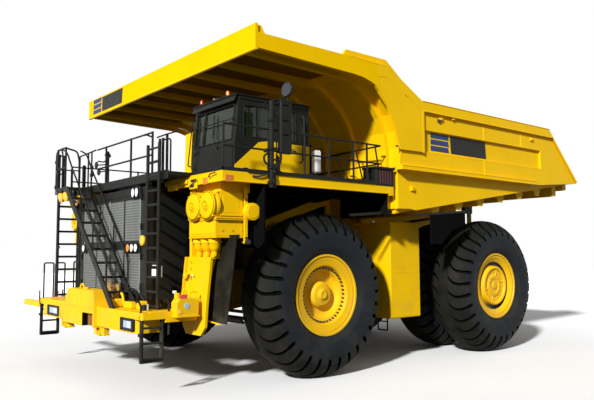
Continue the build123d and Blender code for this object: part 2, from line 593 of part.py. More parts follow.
def body_side():
    """Left side: upper plate with its rails and recessed panel, and the lower wedge."""
    x = (SIDE_OUTER - SIDE_THICKNESS, SIDE_OUTER)
    top_rail = 250
    upper = side_prism(x, SIDE_FRONT + [(CANOPY_REAR_Y, 6690), (CANOPY_REAR_Y, CANOPY_TOP), (1450, CANOPY_TOP),
                                        (2690, SIDE_TOP), (TOP_END_Y, SIDE_TOP), (TAIL_Y, 5020),
                                        (BELT_END_Y, BELT_Z)])
    side = upper - span_box((SIDE_OUTER - 70, SIDE_OUTER + 10), (2760, BELT_END_Y + 280), (5330, 5900))
    side += side_prism(COAMING_X, [(CANOPY_REAR_Y, CANOPY_TOP - 10), (CANOPY_REAR_Y, COAMING_TOP),
                                   (1500, COAMING_TOP), (2690, SIDE_TOP), (1450, CANOPY_TOP - 10)])
    rail_x = (SIDE_OUTER, BODY_HALF_WIDTH)
    side += side_prism(rail_x, [(2690, SIDE_TOP - top_rail), (TOP_END_Y + top_rail, SIDE_TOP - top_rail),
                                (TOP_END_Y, SIDE_TOP), (2690, SIDE_TOP)])
    side += side_prism(rail_x, [(CANOPY_REAR_Y, CANOPY_TOP - 300), (1450, CANOPY_TOP - 300),
                                (2690, SIDE_TOP - top_rail), (2690, SIDE_TOP), (1450, CANOPY_TOP),
                                (CANOPY_REAR_Y, CANOPY_TOP)])
    side += span_box(rail_x, (2690, 2760), (5290, SIDE_TOP - top_rail))
    side += span_box(rail_x, (1900, BELT_END_Y - 50), (BELT_Z, BELT_Z + 110))
    side += side_prism((WEDGE_OUTER - SIDE_THICKNESS, SIDE_OUTER - SIDE_THICKNESS + 1),
                       [(WEDGE_FRONT_Y, BELT_Z), (BELT_END_Y, BELT_Z), (TAIL_Y, 5020), (TAIL_Y, 5080),
                        (BELT_END_Y, BELT_Z + 60), (WEDGE_FRONT_Y, BELT_Z + 60)])
    side += side_prism((WEDGE_OUTER - SIDE_THICKNESS, WEDGE_OUTER),
                       [(WEDGE_FRONT_Y, 3880), (WEDGE_FRONT_Y + 445, 3890), FLOOR_FRONT,
                        (TAIL_Y - 170, floor_z(TAIL_Y - 170)), (TAIL_Y, 5040),
                        (BELT_END_Y, BELT_Z + 30), (WEDGE_FRONT_Y, BELT_Z + 30)])
    return side


def moved_line(line, distance):
    """A (y, z) line of the front wall moved square to itself, towards the cab."""
    moved = []
    for i, (y, z) in enumerate(line):
        start, end = line[max(i - 1, 0)], line[min(i + 1, len(line) - 1)]
        dy, dz = end[0] - start[0], end[1] - start[1]
        length = hypot(dy, dz)
        moved.append((y - dz / length * distance, z + dy / length * distance))
    return moved


def body_front_wall():
    """Front wall that curves up into the canopy, with vertical ribs on its outer face."""
    inner = SIDE_OUTER - SIDE_THICKNESS
    low_inner = WEDGE_OUTER - SIDE_THICKNESS
    wall = side_prism((-inner, inner), WALL_LINE + moved_line(WALL_LINE, -WALL_BAND)[::-1])
    wall = wall & (span_box((-inner, inner), (-500, 3000), (BELT_Z + 70, 8000))
                   + span_box((-low_inner, low_inner), (-500, 3000), (3000, BELT_Z + 80)))
    rib_outline = moved_line(WALL_LINE, WALL_RIB)[:-1] + [(CANOPY_BEND_Y, 6900), (CANOPY_BEND_Y, 7085)]
    rib_outline += moved_line(WALL_LINE, -5)[-2::-1]
    for x in RIB_X:
        wall += side_prism((x - RIB_HALF, x + RIB_HALF), rib_outline)
    return wall


def body_canopy():
    """Canopy over the cab: plate, side rails, front panel and the ribs under it."""
    rear = CANOPY_BEND_Y
    plate = span_box((-BODY_HALF_WIDTH + 120, BODY_HALF_WIDTH - 120), (CANOPY_FRONT_Y, rear), (7085, 7165))
    canopy = plate + span_box((-BODY_HALF_WIDTH, BODY_HALF_WIDTH), (CANOPY_FRONT_Y, CANOPY_FRONT_Y + 70),
                              (6910, 7450))
    edge = side_prism((BODY_HALF_WIDTH - 120, BODY_HALF_WIDTH),
                      [(CANOPY_FRONT_Y, 6950), (rear, 6880), (640, 6850), (900, 6780), (CANOPY_REAR_Y, 6690),
                       (CANOPY_REAR_Y, CANOPY_TOP), (CANOPY_FRONT_Y, CANOPY_TOP)])
    edge += side_prism(COAMING_X, [(0, 7150), (180, COAMING_TOP), (CANOPY_REAR_Y, COAMING_TOP),
                                   (CANOPY_REAR_Y, 7150)])
    edge += side_prism((BODY_HALF_WIDTH - 80, BODY_HALF_WIDTH - 40),
                       [(CANOPY_FRONT_Y + 60, 7150), (CANOPY_FRONT_Y + 60, 7440), (CANOPY_FRONT_Y + 170, 7440),
                        (CANOPY_FRONT_Y + 290, 7260), (CANOPY_FRONT_Y + 290, 7150)])
    canopy += edge + flip(edge)
    for x in RIB_X:
        canopy += side_prism((x - RIB_HALF, x + RIB_HALF), [(CANOPY_FRONT_Y, 6960), (rear, 6900), (rear, 7090),
                                                            (CANOPY_FRONT_Y, 7090)])
    return canopy


# ---- cab ----

def cab_shell():
    """Hollow cab with its windows and door opening cut."""
    w = CAB_WALL
    shell = side_prism(CAB_X, CAB_OUTLINE)
    room = [(CAB_FRONT_Y + w, DECK_Z[1] + w), (CAB_FRONT_Y + w, CAB_KNEE_Z),
            (CAB_FRONT_Y + CAB_LEAN + w, CAB_TOP - w), (CAB_REAR_Y - w, CAB_TOP - w),
            (CAB_REAR_Y - w, DECK_Z[1] + w)]
    shell -= side_prism((CAB_X[0] + w, CAB_X[1] - w), room)
    shell -= span_box(WINDSHIELD[0], (CAB_FRONT_Y - 10, CAB_FRONT_Y + 200), WINDSHIELD[1])
    for y in LEFT_WINDOWS:
        shell -= span_box((CAB_X[1] - w - 10, CAB_X[1] + 10), y, SIDE_WINDOW_Z)
    for y in RIGHT_WINDOWS:
        shell -= span_box((CAB_X[0] - 10, CAB_X[0] + w + 10), y, SIDE_WINDOW_Z)
    shell -= span_box(REAR_WINDOW[0], (CAB_REAR_Y - w - 10, CAB_REAR_Y + 10), REAR_WINDOW[1])
    shell -= span_box((CAB_X[1] - w - 10, CAB_X[1] + 10), DOOR_Y, (DECK_Z[1] + w, DOOR_TOP))
    for z in HINGE_Z:
        for lug_z in ((z - 40, z - GAP), (z + HINGE_HEIGHT + GAP, z + HINGE_HEIGHT + 40)):
            shell += span_box((CAB_X[1] - 1, HINGE_X), (DOOR_Y[0] - HINGE_RADIUS, DOOR_Y[0]), lug_z)
            shell += bar((HINGE_X, DOOR_Y[0], lug_z[0]), (HINGE_X, DOOR_Y[0], lug_z[1]), HINGE_RADIUS)
        shell += bar((HINGE_X, DOOR_Y[0], z - 20), (HINGE_X, DOOR_Y[0], z + HINGE_HEIGHT + 20), HINGE_PIN)
    return shell


def cab_windows():
    """Panes, each in the middle of its wall: windscreen, sides and rear."""
    mid = CAB_WALL / 2
    lean = CAB_LEAN / (CAB_TOP - CAB_KNEE_Z)
    low, high = WINDSHIELD[1]
    y_low = CAB_FRONT_Y + mid + (low - CAB_KNEE_Z) * lean
    y_high = CAB_FRONT_Y + mid + (high - CAB_KNEE_Z) * lean
    panes = [side_prism(WINDSHIELD[0], [(y_low, low), (y_low + PANE, low), (y_high + PANE, high), (y_high, high)])]
    left = (CAB_X[1] - mid, CAB_X[1] - mid + PANE)
    right = (CAB_X[0] + mid - PANE, CAB_X[0] + mid)
    panes += [span_box(left, y, SIDE_WINDOW_Z) for y in LEFT_WINDOWS]
    panes += [span_box(right, y, SIDE_WINDOW_Z) for y in RIGHT_WINDOWS]
    panes.append(span_box(REAR_WINDOW[0], (CAB_REAR_Y - mid, CAB_REAR_Y - mid + PANE), REAR_WINDOW[1]))
    return panes


def cab_door():
    x = (CAB_X[1] - CAB_WALL, CAB_X[1])
    door = span_box(x, (DOOR_Y[0] + GAP, DOOR_Y[1] - DOOR_SWING_GAP),
                    (DECK_Z[1] + CAB_WALL + GAP, DOOR_TOP - GAP))
    door -= span_box((x[0] - 10, x[1] + 10), DOOR_WINDOW_Y, SIDE_WINDOW_Z)
    for z in HINGE_Z:
        door += bar((HINGE_X, DOOR_Y[0], z), (HINGE_X, DOOR_Y[0], z + HINGE_HEIGHT), HINGE_RADIUS)
        door += span_box((CAB_X[1] - 5, HINGE_X), (DOOR_Y[0] + GAP, DOOR_Y[0] + 60), (z, z + HINGE_HEIGHT))
        door -= bar((HINGE_X, DOOR_Y[0], z - 10), (HINGE_X, DOOR_Y[0], z + HINGE_HEIGHT + 10), HINGE_PIN + RUN)
    return door


def door_glass():
    x = CAB_X[1] - CAB_WALL / 2
    return span_box((x, x + PANE), DOOR_WINDOW_Y, SIDE_WINDOW_Z)


def cab_seats():
    """Operator's and trainer's seats: pedestal, cushion and back."""
    base = DECK_Z[1] + CAB_WALL
    seats = []
    for x in (WHEEL_X, 2150):
        seat = span_box((x - 150, x + 150), (-1250, -950), (base, base + 330))
        seat += span_box((x - 260, x + 260), (-1380, -840), (base + 330, base + 450))
        seat += span_box((x - 250, x + 250), (-840, -720), (base + 330, base + 1050))
        seats.append(seat)
    return seats


def cab_console():
    """Dashboard with the steering column and wheel."""
    base = DECK_Z[1] + CAB_WALL
    front = CAB_FRONT_Y + CAB_WALL + 10
    console = side_prism((CAB_X[0] + 120, CAB_X[1] - 120),
                         [(front, base), (front + 230, base), (front + 330, base + 480),
                          (front + 230, base + 560), (front, base + 560)])
    hub = (WHEEL_X, front + 540, base + 700)
    console += bar((WHEEL_X, front + 230, base + 420), hub, 35)
    tilt = Plane(origin=hub, z_dir=(0, 0.74, 0.67))
    wheel = Torus(210, 18) + Cylinder(60, 30) + Box(420, 30, 16) + Box(30, 420, 16)
    return console + tilt * wheel


def control_cabinet():
    """Electrical cabinet behind the centre of the deck."""
    return span_box((-1250, 1500), (0, 1450), (DECK_Z[1], 5700))


# ---- ladders, stair and handrails ----

def ladder(x, y, z, tube, pitch=300):
    """Rails and rungs. Either x or y is one value: the ladder's plane."""
    flat = isinstance(y, (int, float))
    ends = [(side, y) for side in x] if flat else [(x, side) for side in y]
    rungs = int((z[1] - z[0] - 100) // pitch) + 1
    steps = ladder_rail(ends[0], z, tube) + ladder_rail(ends[1], z, tube)
    for i in range(rungs):
        height = z[0] + 60 + i * pitch
        steps += bar((*ends[0], height), (*ends[1], height), tube * 0.6)
    return steps


def ladder_rail(place, z, tube):
    return bar((*place, z[0]), (*place, z[1]), tube)


def access_stair():
    """Diagonal stair across the grille, from the bumper up to the right-hand landing."""
    foot_x, head_x = 1500, -1450
    low, high = BUMPER_Z[1], DECK_Z[1]
    stair = None
    for y in (-4110, -3610):
        stringer = front_prism((y - 20, y + 20), [(foot_x - 110, low), (foot_x + 110, low), (head_x + 110, high),
                                                  (head_x, high), (head_x, high - 110)])
        stair = stringer if stair is None else stair + stringer
    treads = 9
    for i in range(1, treads):
        x = foot_x + (head_x - foot_x) * i / treads
        z = low + (high - low) * i / treads
        stair += span_box((x - 90, x + 90), (-4100, -3620), (z - 20, z + 20))
    return stair


def vertical_ladders():
    """Left ladder faces forward beside the grille; the right one faces sideways."""
    y = LANDING_Y[0] - 80
    left = ladder((2120, 2640), y, (BUMPER_Z[1], DECK_Z[1] + 620), 35)
    left += span_box((2080, 2680), (y, LANDING_Y[0]), (DECK_Z[0] - 60, DECK_Z[1]))
    right = ladder(-2930, (y - 140, y + 410), (BUMPER_Z[1], DECK_Z[0]), 40, pitch=340)
    return left, right


def lower_ladder():
    """Left ladder hung from the bumper's end, rungs fore and aft."""
    return ladder(LADDER_X, (-4140, -3705), (700, BUMPER_Z[1] - BUMPER_SLAB), 40)


def posts_and_rails(corners, base, rise, posts):
    """Handrail along a run of (x, y) corners, with a knee rail and posts at the given places."""
    rail = None
    for a, b in zip(corners, corners[1:]):
        for h in (rise / 2, rise):
            piece = bar((*a, base + h), (*b, base + h), RAIL_TUBE)
            rail = piece if rail is None else rail + piece
    for x, y in posts:
        rail += bar((x, y, base), (x, y, base + rise + RAIL_TUBE), POST_TUBE)
    return rail


def side_rail():
    """Left deck's handrail: along the outer edge, then inwards at the rear."""
    x, front = DECK_OUTER_X - 40, DECK_Y[0] + 40
    corner, inner = (x, DECK_Y[1] - 260), (1620, DECK_Y[1] - 60)
    posts = [(x, front + run) for run in (0, 1110, 2080, 2790, 3550, 3990)]
    return posts_and_rails([(x, front), corner, inner], DECK_Z[1], RAIL_RISE, posts + [inner])


def handrails():
    rail, front_y = side_rail(), LANDING_Y[0] + 230
    runs = [([(1700, front_y), (-1395, front_y)], [(1700, front_y), (600, front_y), (-850, front_y)]),
            ([(-1550, -4100), (-2100, -4100)], [(-1550, -4100), (-2100, -4100)]),
            ([(-2180, -4080), (-3010, -3835)], [(-2180, -4080), (-3010, -3835)]),
            ([(-3020, -3750), (-3020, -3620)], [(-3020, -3750), (-3020, -3620)])]
    return [rail, flip(rail)] + [posts_and_rails(corners, DECK_Z[1], LANDING_RISE, posts) for corners, posts in runs]


def mirror_column():
    return bar((MIRROR_X, MIRROR_Y, 4150), (MIRROR_X, MIRROR_Y, 5950), 55)


def left_mirror():
    """Left mirror column: post, slotted box and round mirror."""
    x, y = MIRROR_X, MIRROR_Y
    mirror = mirror_column() + bar((x, y, 5900), (x, y + 340, 5960), 25)
    mirror += span_box((x - 60, x + 60), (y + 210, y + 490), (4890, 6000)) + bar((x, y + 430, 5970), (x, y + 430, 6180), 22)
    return mirror + Pos(x, y + 430, 6260) * Rot(90, 0, 0) * Cylinder(150, 50)


# ---- the whole truck ----

os.makedirs("parts", exist_ok=True)

save("main_frame", main_frame())
save("engine_block", engine_block())
save("front_bumper", front_bumper())
save("radiator_shell", radiator_shell())
save("radiator_core", radiator_core())
save("radiator_grille", radiator_grille())
upright = deck_upright()
save("deck_uprights", upright, flip(upright))
deck = side_deck()
save("side_decks", deck, flip(deck))
save("centre_deck", centre_deck())
intake = air_cleaner()
save("air_cleaners", intake, flip(intake))
strut = front_strut()
save("front_struts", strut, flip(strut))
save("rear_axle", rear_axle())
strut = rear_strut()
save("rear_struts", strut, flip(strut))
save("fuel_tank", side_tank((1500, 3350)))
save("hydraulic_tank", side_tank((-3050, -1500)))
save("control_cabinet", control_cabinet())
save("cab_shell", cab_shell())
save("cab_windows", *cab_windows())
save("cab_seats", *cab_seats())
save("cab_console", cab_console())
save("access_stair", access_stair())
save("vertical_ladders", *vertical_ladders())
low_ladder = lower_ladder()
save("lower_ladders", low_ladder, flip(low_ladder))
save("handrails", *handrails())
save("mirror_posts", left_mirror(), flip(mirror_column()))

save("cab_door", cab_door())
save("door_glass", door_glass())

save("body_floor", body_floor())
wall = body_side()
save("body_sides", wall, flip(wall))
save("body_front_wall", body_front_wall())
save("body_canopy", body_canopy())

left_pieces = {
    "knuckle": knuckle(),
    "front_rim": front_rim(),
    "front_tyre": tyre(FRONT_WHEEL_X, 0),
    "rear_rims": rear_rims(),
    "steer_barrel": steer_barrel(),
    "steer_rod": steer_rod(),
    "hoist_barrel": hoist_barrel(),
    "hoist_stage": hoist_stage(),
    "hoist_rod": hoist_rod(),
}
for name, piece in left_pieces.items():
    save(f"{name}_left", piece)
    save(f"{name}_right", flip(piece))
dual = [tyre(REAR_OUTER_X, WHEELBASE), tyre(REAR_INNER_X, WHEELBASE)]
save("rear_tyres_left", *dual)
save("rear_tyres_right", *[flip(t) for t in dual])
save("tie_rod", tie_rod())
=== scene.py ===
import math

import bmesh
import bpy
from mathutils import Matrix, Quaternion, Vector


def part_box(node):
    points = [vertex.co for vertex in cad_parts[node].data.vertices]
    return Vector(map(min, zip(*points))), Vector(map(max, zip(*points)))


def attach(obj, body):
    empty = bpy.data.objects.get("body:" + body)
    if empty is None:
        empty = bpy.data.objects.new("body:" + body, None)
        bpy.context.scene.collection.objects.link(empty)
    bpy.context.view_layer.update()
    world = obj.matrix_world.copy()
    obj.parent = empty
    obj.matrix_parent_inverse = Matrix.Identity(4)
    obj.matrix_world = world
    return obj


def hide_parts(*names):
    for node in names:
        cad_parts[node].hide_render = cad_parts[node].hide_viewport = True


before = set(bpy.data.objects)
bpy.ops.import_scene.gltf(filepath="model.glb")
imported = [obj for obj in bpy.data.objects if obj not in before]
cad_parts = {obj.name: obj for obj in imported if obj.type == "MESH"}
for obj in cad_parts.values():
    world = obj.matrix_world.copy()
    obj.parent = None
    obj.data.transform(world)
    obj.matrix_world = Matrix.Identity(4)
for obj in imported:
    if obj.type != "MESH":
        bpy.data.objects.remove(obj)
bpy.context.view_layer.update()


def middle(node):
    low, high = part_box(node)
    return (low + high) / 2


# Pieces are written in the axle frame: x to the truck's left, y rearwards from the front axle, z up,
# in metres. build() moves them into the part's own frame.
FRONT_X, AXLE_Y, HUB_Z = middle("front_tyre_left")
REAR_Y = middle("rear_tyres_left").y - AXLE_Y
TYRE_HALF = (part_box("front_tyre_left")[1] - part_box("front_tyre_left")[0]).x / 2
REAR_OUT_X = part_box("rear_tyres_left")[1].x - TYRE_HALF
REAR_IN_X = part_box("rear_tyres_left")[0].x + TYRE_HALF
BOTH = (1, -1)                      # the truck's left and right side, as the sign of x


def axle_box(node):
    """The low and high corner of a CAD node, in the axle frame."""
    return [corner - Vector((0, AXLE_Y, 0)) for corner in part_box(node)]


# ---- mesh helpers ----

SQUARE = ((0, 0), (1, 0), (1, 1), (0, 1))
FORWARD, UP = (0, -1, 0), (0, 0, 1)
# For each axis: the index along it, then of the cosine's and the sine's direction round it.
AROUND = {"x": (0, 1, 2), "y": (1, 0, 2), "z": (2, 0, 1)}


def circle(count, turn=0.0):
    """Cosine and sine of evenly spaced directions, the first one turned by a share of a step."""
    angles = [2 * math.pi * (k + turn) / count for k in range(count)]
    return [(math.cos(t), math.sin(t)) for t in angles]


def off_axis(centre, axis, along, radius, direction):
    at = list(centre)
    for index, step in zip(AROUND[axis], (along, radius * direction[0], radius * direction[1])):
        at[index] += step
    return at


class Shape:
    """A mesh under construction. use() picks the material of the faces that follow."""

    def __init__(self, *materials):
        self.verts, self.faces, self.tags = [], [], []
        self.materials = list(materials)
        self.tag = 0
        self.place = None

    def use(self, name):
        if name not in self.materials:
            self.materials.append(name)
        self.tag = self.materials.index(name)
        return self

    def put(self, verts, faces):
        base = len(self.verts)
        if self.place is not None:
            verts = [self.place @ Vector(v) for v in verts]
        self.verts += [tuple(v) for v in verts]
        self.faces += [tuple(base + i for i in face) for face in faces]
        self.tags += [self.tag] * len(faces)
        return self

    def box(self, x, y, z, cut=0.004):
        """A block between three (low, high) spans with chamfered edges."""
        spans = [sorted(s) for s in (x, y, z)]
        cut = min(cut, *((b - a) * 0.3 for a, b in spans))
        keys = [(i, j, k) for i in (0, 1) for j in (0, 1) for k in (0, 1)]
        # Each corner is cut into three: vertex 3 * corner + n lies in the face across axis n.
        verts = [[spans[n][key[n]] + (0 if n == face else cut * (1 - 2 * key[n])) for n in range(3)]
                 for key in keys for face in range(3)]
        faces = [(i, i + 1, i + 2) for i in range(0, 24, 3)]
        for n in range(3):
            a, b = [m for m in range(3) if m != n]
            step = [4, 2, 1]

            def vert(end, i, j, face):
                return 3 * (end * step[n] + i * step[a] + j * step[b]) + face

            faces += [[vert(end, i, j, n) for i, j in SQUARE] for end in (0, 1)]
            faces += [[vert(0, i, j, a), vert(1, i, j, a), vert(1, i, j, b), vert(0, i, j, b)]
                      for i, j in SQUARE]
        return self.put(verts, faces)

    def boxes(self, cut, *blocks):
        """Blocks that share a chamfer, each as (x low, x high, y low, y high, z low, z high)."""
        for x0, x1, y0, y1, z0, z1 in blocks:
            self.box((x0, x1), (y0, y1), (z0, z1), cut)
        return self

    def cube(self, x, y, z, half_x, half_y, half_z, cut=0.004):
        """A block about its middle."""
        return self.box((x - half_x, x + half_x), (y - half_y, y + half_y), (z - half_z, z + half_z), cut)

    def beam(self, a, b, width, depth, up=UP, cut=0.004):
        """A chamfered block along the line a-b: width across, depth along the up direction."""
        a, b = Vector(a), Vector(b)
        run = (b - a).normalized()
        side = run.cross(Vector(up)).normalized()
        basis = Matrix((run, side, side.cross(run))).transposed().to_4x4()
        self.place = Matrix.Translation(a) @ basis
        self.box((0, (b - a).length), (-width / 2, width / 2), (-depth / 2, depth / 2), cut)
        self.place = None
        return self

    def tube(self, points, radius, sides=10, bend=0.0):
        """A round bar along a polyline whose corners are rounded by the bend radius."""
        path = rounded([Vector(p) for p in points], bend)
        up = Vector(UP) if abs((path[1] - path[0]).normalized().z) < 0.9 else Vector((0, 1, 0))
        verts = []
        for i, p in enumerate(path):
            back = (p - path[i - 1]).normalized() if i else (path[1] - p).normalized()
            fore = (path[i + 1] - p).normalized() if i + 1 < len(path) else back
            run = (back + fore).normalized()
            side = run.cross(up).normalized()
            up = side.cross(run).normalized()
            stretch = 1 / max(0.5, run.dot(fore)) if len(path) > 2 else 1
            verts += [p + (side * (c * stretch) + up * s) * radius for c, s in circle(sides)]
        faces = [(i + k, i + (k + 1) % sides, i + sides + (k + 1) % sides, i + sides + k)
                 for i in range(0, len(verts) - sides, sides) for k in range(sides)]
        faces += [tuple(range(sides)), tuple(range(len(verts) - sides, len(verts)))]
        return self.put(verts, faces)

    def lathe(self, profile, centre, axis="x", steps=32, paints=None):
        """A solid of revolution. The profile holds (along, radius) points; paints names a material a run."""
        verts, rings = [], []
        for along, radius in profile:
            on_axis = radius < 1e-6
            ring = [off_axis(centre, axis, along, radius, d) for d in circle(1 if on_axis else steps)]
            rings.append([len(verts)] * steps if on_axis else range(len(verts), len(verts) + steps))
            verts += ring
        base, tag = len(self.verts), self.tag
        self.put(verts, [])
        for i, (one, two) in enumerate(zip(rings, rings[1:])):
            if paints:
                self.use(paints[i])
            for k in range(steps):
                m = (k + 1) % steps
                face = tuple(dict.fromkeys(base + v for v in (one[k], one[m], two[m], two[k])))
                if len(face) > 2:
                    self.faces.append(face)
                    self.tags.append(self.tag)
        self.tag = tag
        return self

    def prism(self, outline, axis, low, high):
        """A prism from an outline of the two other coordinates, between low and high along the axis."""
        spot = {"x": lambda a, b, w: (w, a, b), "y": lambda a, b, w: (a, w, b),
                "z": lambda a, b, w: (a, b, w)}[axis]
        n = len(outline)
        verts = [spot(a, b, w) for w in (low, high) for a, b in outline]
        faces = [tuple(range(n)), tuple(range(n, 2 * n))]
        faces += [(i, (i + 1) % n, n + (i + 1) % n, n + i) for i in range(n)]
        return self.put(verts, faces)

    def bolt(self, at, out, radius=0.022, height=0.018):
        """A hexagon head standing on a face; out is the face's direction."""
        out = Vector(out).normalized()
        side = out.orthogonal().normalized()
        up = out.cross(side)
        verts = [Vector(at) + out * h + (side * c + up * s) * radius * r
                 for h, r in ((0, 1.0), (height * 0.75, 1.0), (height, 0.82)) for c, s in circle(6)]
        faces = [(i + k, i + (k + 1) % 6, i + 6 + (k + 1) % 6, i + 6 + k) for i in (0, 6) for k in range(6)]
        return self.put(verts, faces + [tuple(range(12, 18))])

    def bolts(self, start, end, count, out, radius=0.022, height=0.018):
        for i in range(count):
            self.bolt(Vector(start).lerp(Vector(end), i / max(1, count - 1)), out, radius, height)
        return self

    def bolt_circle(self, centre, axis, radius, count, size, height):
        out = off_axis((0, 0, 0), axis, 1, 0, (0, 0))
        for direction in circle(count):
            self.bolt(off_axis(centre, axis, 0, radius, direction), out, size, height)
        return self

    def flip(self):
        """Turn a left-hand shape into a right-hand one."""
        self.verts = [(-x, y, z) for x, y, z in self.verts]

    def mirror(self):
        """Add the same on the truck's right side."""
        n = len(self.verts)
        self.verts += [(-x, y, z) for x, y, z in self.verts]
        self.faces += [tuple(n + i for i in reversed(f)) for f in self.faces]
        self.tags += self.tags
        return self

    def build(self, name, body="chassis", angle=34, slot=None):
        mesh = bpy.data.meshes.new(name)
        mesh.from_pydata([(x, y + AXLE_Y, z) for x, y, z in self.verts], [], self.faces)
        for m in self.materials:
            mesh.materials.append(MATERIALS[m])
        mesh.polygons.foreach_set("material_index", self.tags)
        bm = bmesh.new()
        bm.from_mesh(mesh)
        bmesh.ops.recalc_face_normals(bm, faces=bm.faces)
        bm.to_mesh(mesh)
        bm.free()
        mesh.shade_smooth()
        mesh.set_sharp_from_angle(angle=math.radians(angle))
        obj = bpy.data.objects.new(name, mesh)
        bpy.context.scene.collection.objects.link(obj)
        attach(obj, body)
        return obj


def rounded(points, bend):
    """A polyline with its corners turned into arcs of five steps."""
    steps = 5
    if bend <= 0 or len(points) < 3:
        return points
    path = [points[0]]
    for a, p, b in zip(points, points[1:], points[2:]):
        u, v = a - p, b - p
        reach = min(bend, u.length * 0.49, v.length * 0.49)
        start, end = p + u.normalized() * reach, p + v.normalized() * reach
        for t in (i / steps for i in range(steps + 1)):
            path.append(start * (1 - t) ** 2 + p * (2 * t * (1 - t)) + end * t * t)
    return path + [points[-1]]


# ---- materials ----

MATERIALS = {}
PRINCIPLED = "Principled BSDF"


def node(nt, kind, output, inputs, **settings):
    """A new node; an input that is a socket is linked, another is set. Gives one of its outputs."""
    made = nt.nodes.new(kind)
    for key, value in settings.items():
        setattr(made, key, value)
    for key, value in inputs.items():
        if isinstance(value, bpy.types.NodeSocket):
            nt.links.new(value, made.inputs[key])
        else:
            made.inputs[key].default_value = value
    return made.outputs[output]


def noise(nt, coords, scale, detail=4.0, stretch=None):
    """A noise texture's factor over the object's own coordinates."""
    if stretch:
        coords = node(nt, "ShaderNodeMapping", "Vector", {"Vector": coords, "Scale": stretch})
    return node(nt, "ShaderNodeTexNoise", "Fac", {"Vector": coords, "Scale": scale, "Detail": detail})


def ramp(nt, value, low, high, a=0.0, b=1.0):
    return node(nt, "ShaderNodeMapRange", "Result",
                {"Value": value, "From Min": low, "From Max": high, "To Min": a, "To Max": b})


def product(nt, a, b):
    return node(nt, "ShaderNodeMath", 0, {0: a, 1: b}, operation="MULTIPLY")


def blend(nt, factor, a, b):
    """Mix two colours; each is a tuple with alpha or a socket."""
    colour_a, colour_b, colour_out = 6, 7, 2     # the Mix node's colour sockets
    return node(nt, "ShaderNodeMix", colour_out, {0: factor, colour_a: a, colour_b: b}, data_type="RGBA")


def bump(nt, height, normal, strength, distance):
    inputs = {"Height": height, "Strength": strength, "Distance": distance}
    if normal is not None:
        inputs["Normal"] = normal
    return node(nt, "ShaderNodeBump", "Normal", inputs)


def shade(colour, k, lift=0.0):
    return (*(min(1.0, c * k + lift) if lift else c * k for c in colour), 1)


def material(name, colour, rough, spec, vary, grain, metal=0.0, patch=0.9, streak=0.0, dust=0.0,
             grain_scale=55, ripple=0.0, edge=0.0, coat=0.0, alpha=1.0, glow=0.0):
    """Procedural finish: broad colour patches, rain streaks, dust towards the ground, fine grain and,
    with edge, a bevelled normal and a painted highlight that makes the paint lighter along its edges."""
    mat = bpy.data.materials.new(name)
    mat.use_nodes = True
    nt = mat.node_tree
    bsdf = nt.nodes[PRINCIPLED]
    coords = nt.nodes.new("ShaderNodeTexCoord").outputs["Object"]
    broad = ramp(nt, noise(nt, coords, patch, 5), 0.3, 0.7)
    tint = blend(nt, broad, shade(colour, 1 - vary), shade(colour, 1 + vary * 0.5))
    if streak:
        lines = ramp(nt, noise(nt, coords, 5, 5, (1, 1, 0.12)), 0.45, 0.75)
        tint = blend(nt, product(nt, lines, streak * 4), tint, shade(colour, 0.72))
    if dust:
        height = node(nt, "ShaderNodeSeparateXYZ", "Z", {"Vector": coords})
        cloud = ramp(nt, noise(nt, coords, 2.3, 6), 0.42, 0.72, 0, dust)
        tint = blend(nt, product(nt, ramp(nt, height, 3.2, 0.3), cloud), tint, (0.20, 0.165, 0.12, 1))
    normal = None
    if edge:
        normal = node(nt, "ShaderNodeBevel", "Normal", {"Radius": edge}, samples=4)
        flat = nt.nodes.new("ShaderNodeNewGeometry").outputs["Normal"]
        turned = node(nt, "ShaderNodeVectorMath", "Value", {0: normal, 1: flat}, operation="DOT_PRODUCT")
        # Painted highlight: lighter paint where the bevelled normal turns away from the face's own.
        tint = blend(nt, ramp(nt, turned, 0.985, 0.86, 0, 0.22), tint, shade(colour, 1.12, 0.02))
    normal = bump(nt, noise(nt, coords, grain_scale, 3), normal, grain, 0.004)
    if ripple:
        normal = bump(nt, noise(nt, coords, 1.7, 2), normal, ripple, 0.02)
    gloss = ramp(nt, noise(nt, coords, 7, 4), 0.3, 0.7, max(0.03, rough - 0.07), min(1, rough + 0.09))
    for name_of_input, socket in (("Base Color", tint), ("Roughness", gloss), ("Normal", normal)):
        nt.links.new(socket, bsdf.inputs[name_of_input])
    values = {"Metallic": metal, "Specular IOR Level": spec, "Coat Weight": coat, "Coat Roughness": 0.12,
              "Alpha": alpha}
    if glow:
        values |= {"Emission Color": (*colour, 1), "Emission Strength": glow}
    for name_of_input, value in values.items():
        bsdf.inputs[name_of_input].default_value = value
    MATERIALS[name] = mat
    return mat


YELLOW = (0.93, 0.56, 0.002)
BLACK = (0.0125, 0.0130, 0.0115)

# Name, colour, roughness, specular level, colour variation, grain, then what else the finish has.
# edge gives a finish a painted highlight along its edges.
material("yellow", YELLOW, .42, .08, .05, .08, streak=.02, dust=.25, ripple=.05, edge=.012)
material("yellow_matte", YELLOW, .75, 0, .05, .08, streak=.02)
material("yellow_plain", YELLOW, .42, .08, .05, .08, streak=.02, dust=.25)
# A shaded copy of the yellow: painted shade in seams and grooves.
material("yellow_seam_shade", (.30, .17, .004), .6, .05, .15, .2, streak=.05)
